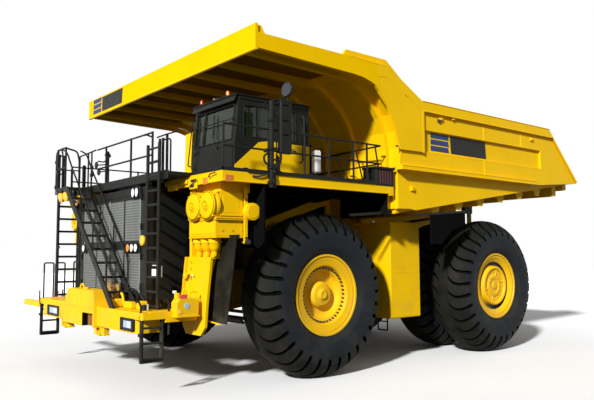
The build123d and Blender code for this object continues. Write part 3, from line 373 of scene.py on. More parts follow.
# A shaded copy of the yellow: painted shade in the gaps between the canopy's ribs.
material("yellow_shaded", (.30, .16, .003), .8, 0, .15, .2, streak=.05)
material("frame_yellow", (.30, .20, .02), .6, .15, .35, .4, patch=1.6, streak=.1, dust=.6, edge=.012)
material("rim", (.86, .50, .004), .42, .2, .06, .12, dust=.3)
material("body_inside", (.36, .25, .03), .7, .15, .25, .5, streak=.1, grain_scale=14)
material("black", BLACK, .42, .10, .15, .1, streak=.03, dust=.3, edge=.008)
material("black_plain", BLACK, .42, .10, .15, .1, streak=.03, dust=.3)
# Greys lighter than the black mesh itself: painted reflection of the white sky on its bars.
material("mesh_painted_reflection", (.21, .22, .21), .5, .3, .12, .1, streak=.03)
material("mesh_frame_painted_reflection", (.20, .21, .20), .45, .3, .12, .1, streak=.03)
material("pale_dark", (.035, .042, .048), .3, .4, .1, .05)
material("plate_dark", (.022, .022, .020), .4, .10, .12, .08, streak=.04)
# Near-black without gloss; the sheets and boards drawn in it behind the grille, under the decks, beside the
# flaps and behind the tanks, and the hitch's slot, are painted shade.
material("void", (.006, .006, .006), .8, 0, .2, .1)
material("chequer", (.03, .03, .028), .5, .08, .2, .9, grain_scale=28)
# Orange-brown: painted shade of the yellow paint in the hitch's recess.
material("hitch_shade", (.30, .12, .02), .7, .15, .3, .5, streak=.1)
material("brass", (.42, .26, .07), .45, .3, .2, .4, metal=.5)
material("iron", (.045, .042, .038), .6, .3, .25, .5, metal=.2, streak=.08, dust=.5, grain_scale=70)
material("steel", (.55, .55, .54), .25, .25, .08, .05, metal=.9)
material("chrome", (.8, .8, .8), .12, .25, .03, .02, metal=1)
material("tread", (.0120, .0122, .0105), .62, .06, .2, .5, patch=2.2, dust=.12, grain_scale=60)
material("sidewall", (.0135, .0160, .0185), .55, .08, .12, .25, patch=1.6, dust=.1, grain_scale=120)
# Near-black for the groove walls: painted shade inside the tyres' grooves.
material("groove", (.0045, .0045, .0040), .8, 0, .1, .2)
material("rubber", (.02, .02, .02), .6, .08, .15, .3, grain_scale=90)
material("flap", (.0125, .0120, .0085), .7, .05, .15, .4, streak=.1, dust=.4)
material("hose", (.014, .014, .015), .5, .12, .1, .3, grain_scale=120)
material("lamp_glass", (.86, .88, .88), .12, .5, .04, .6, grain_scale=90, coat=.5, glow=.15)
material("lamp_blue", (.62, .70, .84), .15, .5, .08, .3, grain_scale=60, coat=.5)
material("amber", (.95, .33, .02), .2, .5, .05, .5, grain_scale=90, coat=.5, glow=.1)
material("red_lens", (.65, .03, .015), .2, .5, .05, .5, grain_scale=90, coat=.5)
material("lens_yellow", (.93, .55, .02), .25, .4, .05, .5, grain_scale=90, coat=.4)
material("reflector", (.70, .22, .03), .35, .3, .12, .4)
material("maroon", (.11, .018, .020), .5, .25, .2, .15, streak=.05)
material("pale_blue", (.42, .52, .58), .3, .4, .06, .1)
material("stripe_blue", (.018, .047, .145), .4, .2, .08, .06, streak=.02)
material("white_paint", (.8, .8, .79), .4, .3, .05, .08, streak=.05)
material("white_bright", (.9, .9, .9), .35, .3, .03, .05)
material("seat_cloth", (.045, .046, .052), .85, .15, .15, .9, grain_scale=260)
material("seat_trim", (.02, .02, .022), .55, .3, .1, .5, grain_scale=180)
material("plastic", (.035, .035, .036), .55, .3, .1, .4, grain_scale=200)
material("dial", (.6, .62, .6), .3, .4, .05, .1)
material("glass", (.018, .027, .013), .05, .5, .1, 0, alpha=.66).blend_method = "BLEND"
material("mirror_glass", (.35, .37, .38), .05, .5, .1, 0, metal=.9).blend_method = "BLEND"

FINISH = {
    "yellow": ["front_bumper", "deck_uprights", "side_decks", "air_cleaners", "fuel_tank",
               "hydraulic_tank", "body_sides", "body_front_wall", "body_floor"],
    "yellow_matte": ["body_canopy"],
    "frame_yellow": ["main_frame"],
    "black": ["centre_deck", "radiator_shell", "radiator_grille", "control_cabinet", "cab_shell",
              "cab_door", "access_stair", "vertical_ladders", "lower_ladders", "handrails",
              "mirror_posts"],
    "iron": ["engine_block", "front_struts", "rear_axle", "rear_struts", "tie_rod", "knuckle_left",
             "knuckle_right", "steer_barrel_left", "steer_barrel_right", "hoist_barrel_left",
             "hoist_barrel_right"],
    "void": ["radiator_core"],
    "chrome": ["steer_rod_left", "steer_rod_right", "hoist_rod_left", "hoist_rod_right",
               "hoist_stage_left", "hoist_stage_right"],
    "glass": ["cab_windows", "door_glass"],
    "plastic": ["cab_console"],
}
for finish, names in FINISH.items():
    for name in names:
        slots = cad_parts[name].data.materials
        slots.clear()
        slots.append(MATERIALS[finish])


# ---- camera, light and floor ----

# The camera as it was fitted to the photograph, in the part's own frame.
SENSOR_MM, LENS_MM = 36, 39.08121
CAMERA_AT = (14.701, -12.865, 2.798)
CAMERA_YAW, CAMERA_PITCH, CAMERA_ROLL = (math.radians(a) for a in (230.79, 4.76, -0.24))
SUN = Vector((0.40, -0.80, 0.44)).normalized()
SUN_STRENGTH, SUN_SPREAD = 5.0, math.radians(4)
SKY_LIGHT = 0.29                    # the world's strength for diffuse light
FLOOR_BOUNCE = 0.10                 # how pale the floor is to diffuse light
FLOOR_RADIUS = 90


def turned_object(name, data, look, up, roll=0.0):
    obj = bpy.data.objects.new(name, data)
    obj.rotation_mode = "QUATERNION"
    obj.rotation_quaternion = look.to_track_quat(up, "Y") @ Quaternion((0, 0, 1), roll)
    bpy.context.scene.collection.objects.link(obj)
    return obj


def camera():
    data = bpy.data.cameras.new("camera")
    data.sensor_width, data.lens = SENSOR_MM, LENS_MM
    data.clip_end = 400
    level = math.cos(CAMERA_PITCH)
    look = Vector((math.sin(CAMERA_YAW) * level, -math.cos(CAMERA_YAW) * level, math.sin(CAMERA_PITCH)))
    bpy.context.scene.camera = turned_object("camera", data, look, "-Z", CAMERA_ROLL)
    bpy.context.scene.camera.location = CAMERA_AT


def seen_ray(nt):
    """1 for rays from the camera, off gloss or through glass; 0 for diffuse light."""
    path = nt.nodes.new("ShaderNodeLightPath").outputs
    total = path["Is Camera Ray"]
    for name in ("Is Glossy Ray", "Is Transmission Ray"):
        total = node(nt, "ShaderNodeMath", 0, {0: total, 1: path[name]}, operation="MAXIMUM")
    return total


def lights():
    world = bpy.data.worlds.new("studio")
    bpy.context.scene.world = world
    world.use_nodes = True
    nt = world.node_tree
    back = nt.nodes["Background"].inputs
    back["Color"].default_value = (1, 1, 1, 1)
    nt.links.new(ramp(nt, seen_ray(nt), 0, 1, SKY_LIGHT, 1.0), back["Strength"])
    data = bpy.data.lights.new("key", "SUN")
    data.energy, data.angle = SUN_STRENGTH, SUN_SPREAD
    turned_object("key", data, SUN, "Z")


def floor():
    """Pale studio floor that keeps the shadow and fades into the white background."""
    mat = bpy.data.materials.new("floor")
    mat.use_nodes = True
    nt = mat.node_tree
    nt.nodes.remove(nt.nodes[PRINCIPLED])
    coords = nt.nodes.new("ShaderNodeTexCoord").outputs["Object"]
    distance = node(nt, "ShaderNodeVectorMath", "Value", {0: coords}, operation="LENGTH")
    near = ramp(nt, noise(nt, coords, 0.25), 0.3, 0.7, 0.98, 1.03)
    pale = product(nt, near, ramp(nt, distance, 9, 45, 1.0, 1.5))
    level = node(nt, "ShaderNodeMix", 0, {0: seen_ray(nt), 2: FLOOR_BOUNCE, 3: pale})
    surface = node(nt, "ShaderNodeBsdfDiffuse", 0, {"Color": level})
    nt.links.new(surface, nt.nodes["Material Output"].inputs["Surface"])
    mesh = bpy.data.meshes.new("floor")
    ring = [(FLOOR_RADIUS * c, FLOOR_RADIUS * s, 0) for c, s in circle(96)]
    mesh.from_pydata(ring, [], [tuple(range(len(ring)))])
    mesh.materials.append(mat)
    obj = bpy.data.objects.new("floor", mesh)
    bpy.context.scene.collection.objects.link(obj)


camera()
lights()
floor()


# ---- wheels ----

LUGS = 31
GROOVE = 0.22            # width of a groove, as a share of one lug
WALL_TOP = 1.44          # radius at which the shoulder's grooves start
# Tyre section as (width from the middle, radius): the left wall and shoulder, then the crown.
HALF_PROFILE = [(.40, .80), (.457, .86), (.47, .93), (.485, .955), (.54, 1.03), (.552, 1.05), (.560, 1.052),
                (.572, 1.075), (.573, 1.09), (.60, 1.17), (.616, 1.27), (.62, 1.31), (.618, 1.36),
                (.612, 1.41), (.606, 1.445), (.602, 1.475), (.590, 1.51), (.567, 1.55), (.532, 1.60),
                (.482, 1.66), (.427, 1.72), (.36, 1.77), (.30, 1.805), (.235, 1.832), (.185, 1.845),
                (.176, 1.847)]
CROWN = [(.168, 1.849), (.163, 1.828), (.152, 1.829), (.147, 1.852), (.05, 1.866), (0, 1.867), (-.06, 1.865),
         (-.107, 1.858), (-.112, 1.836), (-.123, 1.835), (-.128, 1.856)]
# Columns of one lug, as shares of it: the left shoulder's groove is columns 0-3, the right one's 5-8.
LUG_CUTS = [0, .035, GROOVE - .035, GROOVE, .37, .5, .535, .465 + GROOVE, .5 + GROOVE, .87]
LEFT_CUT, RIGHT_CUT = 0, 5


def lug_shift(a):
    """How far a groove has wandered around the tyre at width a, in metres."""
    if a > 0.17:
        t = min(1, (0.62 - a) / 0.45)
        return -0.05 * math.sin(math.pi * t) + 0.16 * t ** 4
    if a < -0.12:
        t = min(1, (0.62 + a) / 0.50)
        return 0.05 * math.sin(math.pi * t) - 0.16 * t ** 4
    return 0.16 - (0.17 - a) / 0.29 * 0.32


def groove_depth(a, r):
    if -0.134 < a < 0.1765 or r < WALL_TOP:
        return 0.0
    return 0.105 * min(1.0, (r - WALL_TOP) / 0.10)


def tyre_ring(x, y, a, r, columns):
    """The vertices of one row of the tyre's section, round the whole tyre."""
    depth, first_cut = groove_depth(a, r), LEFT_CUT if a > 0 else RIGHT_CUT
    widen = .045 if WALL_TOP < r < 1.56 else 0
    lean = lug_shift(a) / max(r, 1.3) * min(1, max(0, (r - 1.2) / 0.3))
    ring = []
    for lug, j in columns:
        share = LUG_CUTS[j]
        if first_cut <= j < first_cut + 4:
            share += -widen if j < first_cut + 2 else widen
        theta = 2 * math.pi * (lug + share) / LUGS - lean
        sunk = depth * min(1.0, 0.7 + abs(r - WALL_TOP) / 0.4) if j in (first_cut + 1, first_cut + 2) else 0
        ring.append(off_axis((x, y, HUB_Z), "x", a, r - sunk, (math.cos(theta), math.sin(theta))))
    return ring


def tyre(shape, x, y):
    rows = HALF_PROFILE + CROWN + [(-a, r) for a, r in reversed(HALF_PROFILE)]
    rows = [(a if a > -0.17 or a < -0.19 else a + 0.035, r) for a, r in rows]
    columns = [(lug, j) for lug in range(LUGS) for j in range(len(LUG_CUTS))]
    n, first = len(columns), len(shape.verts)
    rings = [tyre_ring(x, y, a, r, columns) for a, r in rows]
    for ring in rings:
        shape.put(ring, [])

    def band(paint, one, two, k):
        m = (k + 1) % n
        shape.use(paint)
        shape.faces.append((one + k, one + m, two + m, two + k))
        shape.tags.append(shape.tag)

    for i in range(len(rows) - 1):
        plain = "tread" if min(rows[i][1], rows[i + 1][1]) > 1.52 else "sidewall"
        cut = any(groove_depth(*row) for row in rows[i:i + 2])
        first_cut = LEFT_CUT if rows[i][0] > 0 else RIGHT_CUT
        for k in range(n):
            # Groove faces get the groove paint: painted shade inside the grooves.
            grooved = cut and first_cut <= columns[k][1] < first_cut + 3
            band("groove" if grooved else plain, first + i * n, first + (i + 1) * n, k)
    # The bead's inner side, closed down to the rim's barrel.
    for i, step in ((0, -0.05), (len(rows) - 1, 0.05)):
        back = len(shape.verts)
        shape.put([(x + rows[i][0] + step, vy, vz) for _, vy, vz in rings[i]], [])
        for k in range(n):
            band("sidewall", first + i * n, back, k)


FLANGE = [(.487, .915), (.487, .872), (.462, .862), (.440, .850), (.440, .838)]
FRONT_DISC = FLANGE + [(.458, .830), (.452, .80), (.424, .67), (.400, .645), (.332, .632), (.322, .580),
                       (.306, .555), (.22, .530), (.175, .505), (.155, .47), (.145, .42), (.145, .325),
                       (.165, .302), (.262, .290), (.280, .270), (.300, .240), (.306, .235), (.312, .150),
                       (.325, .120), (.352, .098), (.360, .085), (.352, .05), (.352, 0)]
REAR_DISC = FLANGE + [(.455, .830), (.445, .80), (.405, .70), (.385, .675), (.300, .660), (.285, .575),
                      (.300, .566), (.405, .556), (.428, .548), (.437, .535), (.437, .475), (.418, .462),
                      (.400, .445), (.392, .33), (.402, .31), (.415, .29), (.415, .20), (.400, .185),
                      (.400, .10), (.425, .09), (.425, 0)]
BARREL = [(.487, .915), (.457, .915), (.457, .80), (-.457, .80), (-.457, .915), (-.487, .915)]


def rim(shape, centre, disc, groove_shade_runs, back, nuts):
    """A rim's face, barrel and hub, and circles of nuts as (along, radius, count, size, height, paint)."""
    # The runs listed for the grooves and the recess are painted in dark iron: painted shade.
    paints = ["iron" if i in groove_shade_runs else "rim" for i in range(len(disc))]
    shape.use("rim")
    shape.lathe(disc, centre, "x", 96, paints)
    shape.lathe(back, centre, "x", 96)
    for along, radius, count, size, height, paint in nuts:
        shape.use(paint)
        shape.bolt_circle(off_axis(centre, "x", along, 0, (0, 0)), "x", radius, count, size, height)


def front_rim(shape):
    back = BARREL + [(-.487, .775), (.06, .775), (.06, .43), (-.34, .43), (-.34, .205)]
    # Dark iron in the flange's groove and on the nuts: painted shade.
    rim(shape, (FRONT_X, 0, HUB_Z), FRONT_DISC, (2, 3), back, [(.326, .606, 40, .021, .052, "iron")])


def rear_rims(shape):
    inner = REAR_IN_X - REAR_OUT_X
    back = BARREL + [(-.487, .79), (inner + .487, .79)] + [(inner + a, r) for a, r in BARREL]
    back += [(inner - .487, .775), (-.30, .775), (-.30, .55), (-.39, .50), (-.39, .255)]
    centre = (REAR_OUT_X, REAR_Y, HUB_Z)
    # Dark iron in the grooves, the recess and on the nuts in it: painted shade.
    rim(shape, centre, REAR_DISC, (2, 3, 8, 9), back,
        [(.437, .507, 50, .016, .022, "rim"), (.302, .615, 44, .016, .030, "iron"),
         (.392, .385, 24, .015, .016, "rim"), (.415, .245, 12, .018, .018, "rim")])
    shape.use("rim")
    for direction in circle(6, .25):
        ends = [off_axis(centre, "x", .398, radius, direction) for radius in (.20, .45)]
        shape.beam(*ends, .03, .03, (1, 0, 0))


def rear_tyres(shape):
    tyre(shape, REAR_OUT_X, REAR_Y)
    tyre(shape, REAR_IN_X, REAR_Y)


def wheels():
    kinds = (("front_tyre", "front_wheel", lambda shape: tyre(shape, FRONT_X, 0), "tyre_rubber"),
             ("front_rim", "front_wheel", front_rim, "rim_paint"),
             ("rear_tyres", "rear_wheels", rear_tyres, "tyre_rubber"),
             ("rear_rims", "rear_wheels", rear_rims, "rim_paint"))
    for name in ("left", "right"):
        for kind, body, make, slot in kinds:
            shape = Shape()
            make(shape)
            if name == "right":
                shape.flip()
            obj = shape.build(f"{kind}_{name}_visual", f"{body}_{name}", 30, slot)
            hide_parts(f"{kind}_{name}")


wheels()


# ---- nose: grille, lamps, bumper, stair and ladders ----

def oval_lamp(shape, x, y, z, width, height, lens):
    """An oval lamp that faces forward at (x, y, z)."""
    for scale, depth, paint in ((1.16, 0.030, "black_plain"), (1.0, 0.040, lens), (0.6, 0.052, lens)):
        outline = [(x + a * width / 2 * scale, z + b * height / 2 * scale) for a, b in circle(20)]
        shape.use(paint).prism(outline, "y", y, y - depth)


def round_lamp(shape, at, out, radius, lens, rim="black_plain", depth=0.07):
    """A round lamp: housing, bezel and domed lens, facing along out."""
    shape.place = Matrix.Translation(at) @ Vector(out).to_track_quat("X", "Z").to_matrix().to_4x4()
    profile = [(-depth, 0), (-depth, radius * 0.7), (-depth * .3, radius * 1.05), (0, radius * 1.12),
               (.012, radius * 1.1), (.014, radius * .96), (.02, radius * .9), (.03, radius * .5), (.034, 0)]
    shape.lathe(profile, (0, 0, 0), "x", 20, [rim] * 5 + [lens] * 3)
    shape.place = None


GRILLE_FACE = -3.55
GRILLE_HALF = 1.56


def grille():
    low, high = axle_box("radiator_grille")
    y = low.y + 0.008
    s = Shape("void")
    mid = (low.z + high.z) / 2
    zs = (low.z + .06, mid - .07, mid + .07, high.z - .06)
    pitch, wire = 0.060, 0.0105
    for z0, z1 in (zs[:2], zs[2:]):
        # A near-black sheet right behind the mesh: painted shade seen through its holes.
        s.use("void").box((-GRILLE_HALF, GRILLE_HALF), (y + .008, y + .011), (z0, z1), 0.001)
        # Mesh bars in grey: painted reflection of the sky on the black mesh.
        s.use("mesh_painted_reflection")
        for i in range(int(2 * GRILLE_HALF / pitch) + 1):
            x = -GRILLE_HALF + i * pitch
            s.box((x - wire, x + wire), (y - .012, y + .004), (z0, z1), 0.002)
        for i in range(int((z1 - z0) / pitch) + 1):
            z = z0 + i * pitch
            s.box((-GRILLE_HALF, GRILLE_HALF), (y - .008, y - .004), (z - wire, z + wire), 0.002)
    # Upright frame bars: the outer and middle ones in the grey of painted reflection, two more in black.
    for paint, half, depth, bars in (("mesh_frame_painted_reflection", .030, .026, (-1.58, -.02, 1.60)),
                                     ("black_plain", .022, .020, (-.80, .78))):
        s.use(paint)
        for x in bars:
            s.box((x - half, x + half), (y - depth, y + .004), (zs[0], zs[3]))
    for z in zs:
        s.box((-1.6, 1.6), (y - .018, y + .004), (z - .03, z + .03))
        s.bolts((-1.52, y - .018, z), (1.52, y - .018, z), 9, FORWARD, .014, .01)
    s.build("grille_mesh", angle=30)


def grille_lamps():
    s = Shape("black_plain")
    face = GRILLE_FACE
    for depth, x0, x1, z0, z1, lamp_z, width, height, lamps in (
            (.05, 1.235, 1.660, 4.03, 4.285, 4.155, .125, .19,
             ((1.382, "lamp_glass"), (1.565, "lamp_glass"))),
            (.04, 1.02, 1.66, 2.83, 3.05, 2.94, .135, .165,
             ((1.137, "amber"), (1.337, "lamp_glass"), (1.538, "lamp_glass"))),
            (.04, -1.60, -1.37, 2.84, 3.07, 2.955, .13, .165, ((-1.482, "lamp_glass"),))):
        s.use("black").box((x0, x1), (face - depth, face), (z0, z1), .02)
        for x, lens in lamps:
            oval_lamp(s, x, face - depth, lamp_z, width, height, lens)
    # Blank labels beside the right ladder.
    s.use("white_paint").boxes(.004, (2.281, 2.533, -3.60, -3.585, 2.335, 2.495),
                               (2.30, 2.52, -3.60, -3.585, 2.555, 2.595))
    # A bar beside them in the grey of painted reflection.
    s.use("mesh_frame_painted_reflection").box((2.735, 2.760), (-3.62, -3.595), (2.33, 2.565), .008)
    # Frame around the grille: bolted flanges, hinges and latches.
    s.use("black_plain")
    for z in (1.83, 4.335):
        s.box((-1.97, 1.97), (face - .02, face), (z, z + .045))
    for x in (-1.95, 1.905):
        s.box((x, x + .045), (face - .02, face), (1.85, 4.33))
    for side in BOTH:
        for z in (2.1, 2.75, 3.4, 4.05):
            s.tube([(side * 1.70, face - .025, z - .07), (side * 1.70, face - .025, z + .07)], .022, 8)
        s.bolts((side * 1.93, face - .02, 1.95), (side * 1.93, face - .02, 4.05), 8, FORWARD, .018, .012)
    s.build("grille_lamps")
    s = Shape("yellow_plain")
    round_lamp(s, (1.86, -3.62, 3.095), FORWARD, .100, "lens_yellow", "yellow_plain", .08)
    for x, y, z, r in ((-1.45, -4.1, 4.24, .11), (-1.80, -4.1, 4.24, .11),
                       (-1.42, -3.8, 4.19, .09), (-1.72, -3.8, 4.19, .09)):
        round_lamp(s, (x, y - .02, z), (.1, -1, -.25), r, "lens_yellow", "yellow_plain", .14)
        s.use("black_plain").box((x - .03, x + .03), (y - .01, y + .04), (z + .06, 4.42))
    s.build("access_lamps")


BUMPER_FACE = -4.18
BUMPER_TOP = 1.66
NOSE_FACE = -4.25
LAMP_POCKETS = ((-2.29, -1.55), (2.15, 2.68))
TOW_LUGS = ((-1.50, -.94), (.60, 1.14))


def bumper():
    s = Shape("yellow_plain")
    face, nose = BUMPER_FACE, NOSE_FACE
    z0, z1 = 1.31, 1.50
    for x0, x1 in LAMP_POCKETS:
        s.use("black_plain").box((x0, x1), (face + .03, face + .06), (z0, z1), .004)
        front, back = face - .035, face + .04
        s.boxes(.010, (x0 - .03, x0 + .09, front, back, z0 - .03, z1 + .03),
                (x1 - .05, x1 + .03, front, back, z0 - .03, z1 + .03),
                (x0, x1, front, back, z0 - .03, z0 + .02), (x0, x1, front, back, z1 - .02, z1 + .03))
        s.use("lamp_blue").box((x0 + .08, x1 - .04), (face - .012, face + .035), (z0 + .015, z1 - .015), .012)
        s.use("pale_blue")
        s.box((x0 + .12, (x0 + x1) / 2), (face - .016, face - .010), (z0 + .03, z1 - .03), .010)
    s.use("yellow_plain")
    # Bolts on the layers' ends and small screws by the lamps.
    for side in BOTH:
        s.bolt((side * 2.93, face, 1.59), FORWARD, .028, .020)
        s.bolts((side * 1.30, face, 1.60), (side * 2.60, face, 1.60), 5, FORWARD, .013, .008)
        s.bolts((side * 1.62, face, 1.31), (side * 1.62, face, 1.47), 2, FORWARD, .018, .012)
        s.use("iron").bolts((side * 2.30, face, 1.272), (side * 2.62, face, 1.272), 3, FORWARD, .014, .010)
        s.use("yellow_plain").box((side * 2.72, side * 3.02), (-3.99, -3.62), (BUMPER_TOP, 1.675))
    # Nose: folded seams, the open hitch with its pin and rings on the top box.
    s.tube([(-1.04, nose - .004, 1.62), (.86, nose - .004, 1.62)], .010, 6)
    s.tube([(-.94, nose - .002, 1.665), (.86, nose - .002, 1.665)], .007, 6)
    s.bolts((-.80, nose, 1.72), (.55, nose, 1.72), 5, FORWARD, .012, .008)
    s.box((.02, .05), (nose - .006, nose + .002), (1.70, 1.98))
    # A near-black slot and an orange-brown plate and pin: painted shade inside the open hitch.
    s.use("void").box((.19, .24), (nose - .006, -4.0), (1.205, 1.50))
    s.use("hitch_shade").box((.24, .78), (-4.14, -3.90), (1.21, 1.50))
    s.tube([(.50, -4.10, 1.22), (.50, -4.10, 1.50)], .055, 14)
    s.use("yellow_plain")
    for x in (.30, .64):
        s.tube([(x, -4.10, 1.45), (x, -4.10, 1.50)], .05, 10)
    x, y, z = -.265, -4.09, 2.00
    s.tube([(x - .10, y, z), (x - .10, y, z + .07), (x, y, z + .13), (x + .10, y, z + .07), (x + .10, y, z)],
           .022, 8, .07)
    # Rounded shoulders on the tow lugs.
    for x0, x1 in TOW_LUGS:
        s.lathe([(-.145, .085), (-.145, .115), (.0, .115), (.0, .085)], ((x0 + x1) / 2, -4.0, 1.14), "y", 24)
        s.box((x0 - .02, x1 + .02), (-4.145, -3.995), (1.055, 1.085), .012)
    s.build("bumper_trim", slot="body_yellow")


def bumper_gear():
    """Hydraulic gear on top of the bumper, behind the nose box and under the stair."""
    s, z = Shape("yellow_plain"), BUMPER_TOP
    s.boxes(.02, (.95, 1.35, -3.98, -3.80, z, 1.84), (1.55, 1.95, -3.90, -3.74, z, 1.80),
            (2.20, 2.42, -3.90, -3.74, z, 1.84), (-1.75, -1.15, -3.95, -3.75, z, 1.80))
    s.tube([(-.62, -3.86, 1.95), (.62, -3.86, 1.95)], .06, 14)
    s.use("brass").box((.30, .92), (-3.74, -3.64), (1.72, 2.14), .03)
    s.box((.34, .60), (-3.78, -3.72), (1.80, 2.06), .02)
    s.lathe([(0, .10), (-.05, .10), (-.06, .07), (-.06, 0)], (.76, -3.74, 1.94), "y", 16)
    s.tube([(.30, -3.72, 2.14), (.30, -3.72, 2.24), (.55, -3.72, 2.24), (.55, -3.72, 2.14)], .022, 8, .05)
    s.use("yellow_plain")
    s.tube([(.98, -3.80, 1.86), (1.10, -3.80, 1.98), (1.32, -3.80, 1.94), (1.40, -3.80, 1.70)], .03, 8, .08)
    s.use("hose")
    for radius, bend, path in (
            (.028, .12, [(.98, -3.66, 1.80), (1.2, -3.70, 1.95), (1.4, -3.72, 2.02), (1.6, -3.70, 1.9),
                         (1.7, -3.66, 1.70)]),
            (.024, .14, [(.98, -3.64, 1.85), (1.25, -3.64, 2.05), (1.55, -3.64, 2.06), (1.85, -3.62, 1.72)]),
            (.024, .12, [(1.7, -3.62, 1.70), (1.9, -3.70, 1.98), (2.1, -3.72, 1.95), (2.2, -3.66, 1.70)]),
            (.024, .12, [(-.2, -3.70, 1.80), (-.5, -3.70, 1.92), (-.9, -3.68, 1.86), (-1.2, -3.64, 1.70)])):
        s.tube(path, radius, 8, bend)
    s.use("black_plain").box((-1.35, -1.05), (-3.98, -3.86), (1.80, 1.98), .02)
    s.box((2.50, 2.60), (-3.92, -3.82), (z, 1.78), .012)
    s.use("steel").tube([(2.66, -3.86, z), (2.66, -3.86, 1.80)], .024, 10)
    s.build("bumper_gear", slot="body_yellow")


def left_box():
    """Yellow junction box over the outer end of the bumper, with its blank red tag."""
    s = Shape("yellow_plain")
    x0, x1, front, back = 2.97, 3.22, -3.50, -3.02
    s.prism([(front, 1.56), (front, 1.83), (front + .06, 1.91), (back - .04, 1.91), (back, 1.87),
             (back, 1.60), (back - .04, 1.56)], "x", x0, x1)
    s.prism([(x0 - .03, front - .012), (x1 + .012, front - .012), (x1 + .012, -3.0), (x0 - .03, -3.0)],
            "z", 1.545, 1.575)
    s.bolts((x1, front + .06, 1.62), (x1, front + .06, 1.82), 2, (1, 0, 0), .012, .008)
    for paint, radius, y, z in (("pale_blue", .062, -3.286, 1.766), ("lens_yellow", .045, -3.44, 1.655)):
        s.use(paint).lathe([(0, 0), (0, radius), (.008, radius - .002), (.010, 0)], (x1, y, z), "x", 18)
    s.use("yellow_plain").tube([(3.06, -3.42, 1.90), (3.06, -3.42, 2.02)], .06, 12)
    s.use("white_paint").box((2.99, 3.09), (-3.50, -3.44), (2.01, 2.07), .015)
    s.use("red_lens").box((3.195, 3.215), (-3.43, -3.27), (1.875, 1.995), .003)
    s.use("yellow_plain")
    s.tube([(3.18, -3.20, 1.9), (3.18, -3.20, 2.04), (3.18, -3.05, 2.04), (3.18, -3.05, 1.9)], .014, 8, .04)
    s.build("junction_box_left", slot="body_yellow")


LANDING = 4.5            # height of the landing over the nose
RIGHT_LADDER_X = -2.93
LOWER_LADDER_X = 2.97
STAIR_FOOT, STAIR_HEAD = (1.5, BUMPER_TOP), (-1.45, LANDING)


def stair_rails(s):
    """Handrails, stanchions and grip treads of the stair across the nose."""
    run, rise = (h - f for h, f in zip(STAIR_HEAD, STAIR_FOOT))
    for y in (-4.11, -3.61):
        def line(x, up):
            return (x, y, STAIR_FOOT[1] + (x - STAIR_FOOT[0]) * rise / run + up)

        s.tube([line(1.15, .05), line(1.15, .72), line(-1.05, .80), (-1.45, y, 5.38), (-1.84, y, 5.50)],
               .021, 10, .18)
        for x in (.35, -.45, -1.1):
            s.tube([line(x, .05), line(x, .76)], .019, 8)
    for t in (i / 9 for i in range(1, 9)):
        x, z = STAIR_FOOT[0] + run * t, STAIR_FOOT[1] + rise * t
        s.use("chequer")
        for edge in (x - .088 + k * .04 for k in range(5)):
            s.box((edge, edge + .014), (-4.08, -3.64), (z + .018, z + .032), .002)
        s.use("black_plain")
        for y, out in ((-4.128, -1), (-3.592, 1)):
            s.bolt((x - .03, y, z), (0, out, 0), .016, .012)


def ladder_backs(s):
    """Bars behind the ladder rungs, brackets, and the lower ladders' rungs and feet."""
    for x in (2.12, 2.64):
        for z in (1.75, 2.7, 3.6, 4.3):
            s.box((x - .018, x + .018), (-3.63, -3.55), (z - .03, z + .03))
            s.bolt((x, -3.68, z), FORWARD, .016, .012)
    for i in range(11):
        s.cube(2.38, -3.64, 1.74 + i * .3, .24, .025, .012)
    x = RIGHT_LADDER_X
    for y in (-3.78, -3.23):
        s.tube([(x, y, 4.42), (x, y, 5.52)], .03, 10)
        for z in (1.8, 3.0, 4.2):
            s.box((x, -2.80), (y - .02, y + .02), (z - .03, z + .03))
    for i in range(8):
        s.cube(x, -3.505, 1.74 + i * .34, .025, .255, .012)
    for x in (LOWER_LADDER_X, -LOWER_LADDER_X):
        for z in (.76, 1.06, 1.36):
            s.box((x - .055, x + .055), (-4.12, -3.73), (z - .014, z + .014))
        s.tube([(x, -4.15, .71), (x, -3.70, .71)], .028, 8)
        s.box((x - .05, x + .05), (-4.20, -4.14), (1.20, 1.26), .010)


def hoop(a, b, top):
    """Path of an upright hoop rail between two feet on the bumper, each given as (x, y)."""
    return [(*a, BUMPER_TOP), (*a, top), (*b, top), (*b, BUMPER_TOP)]


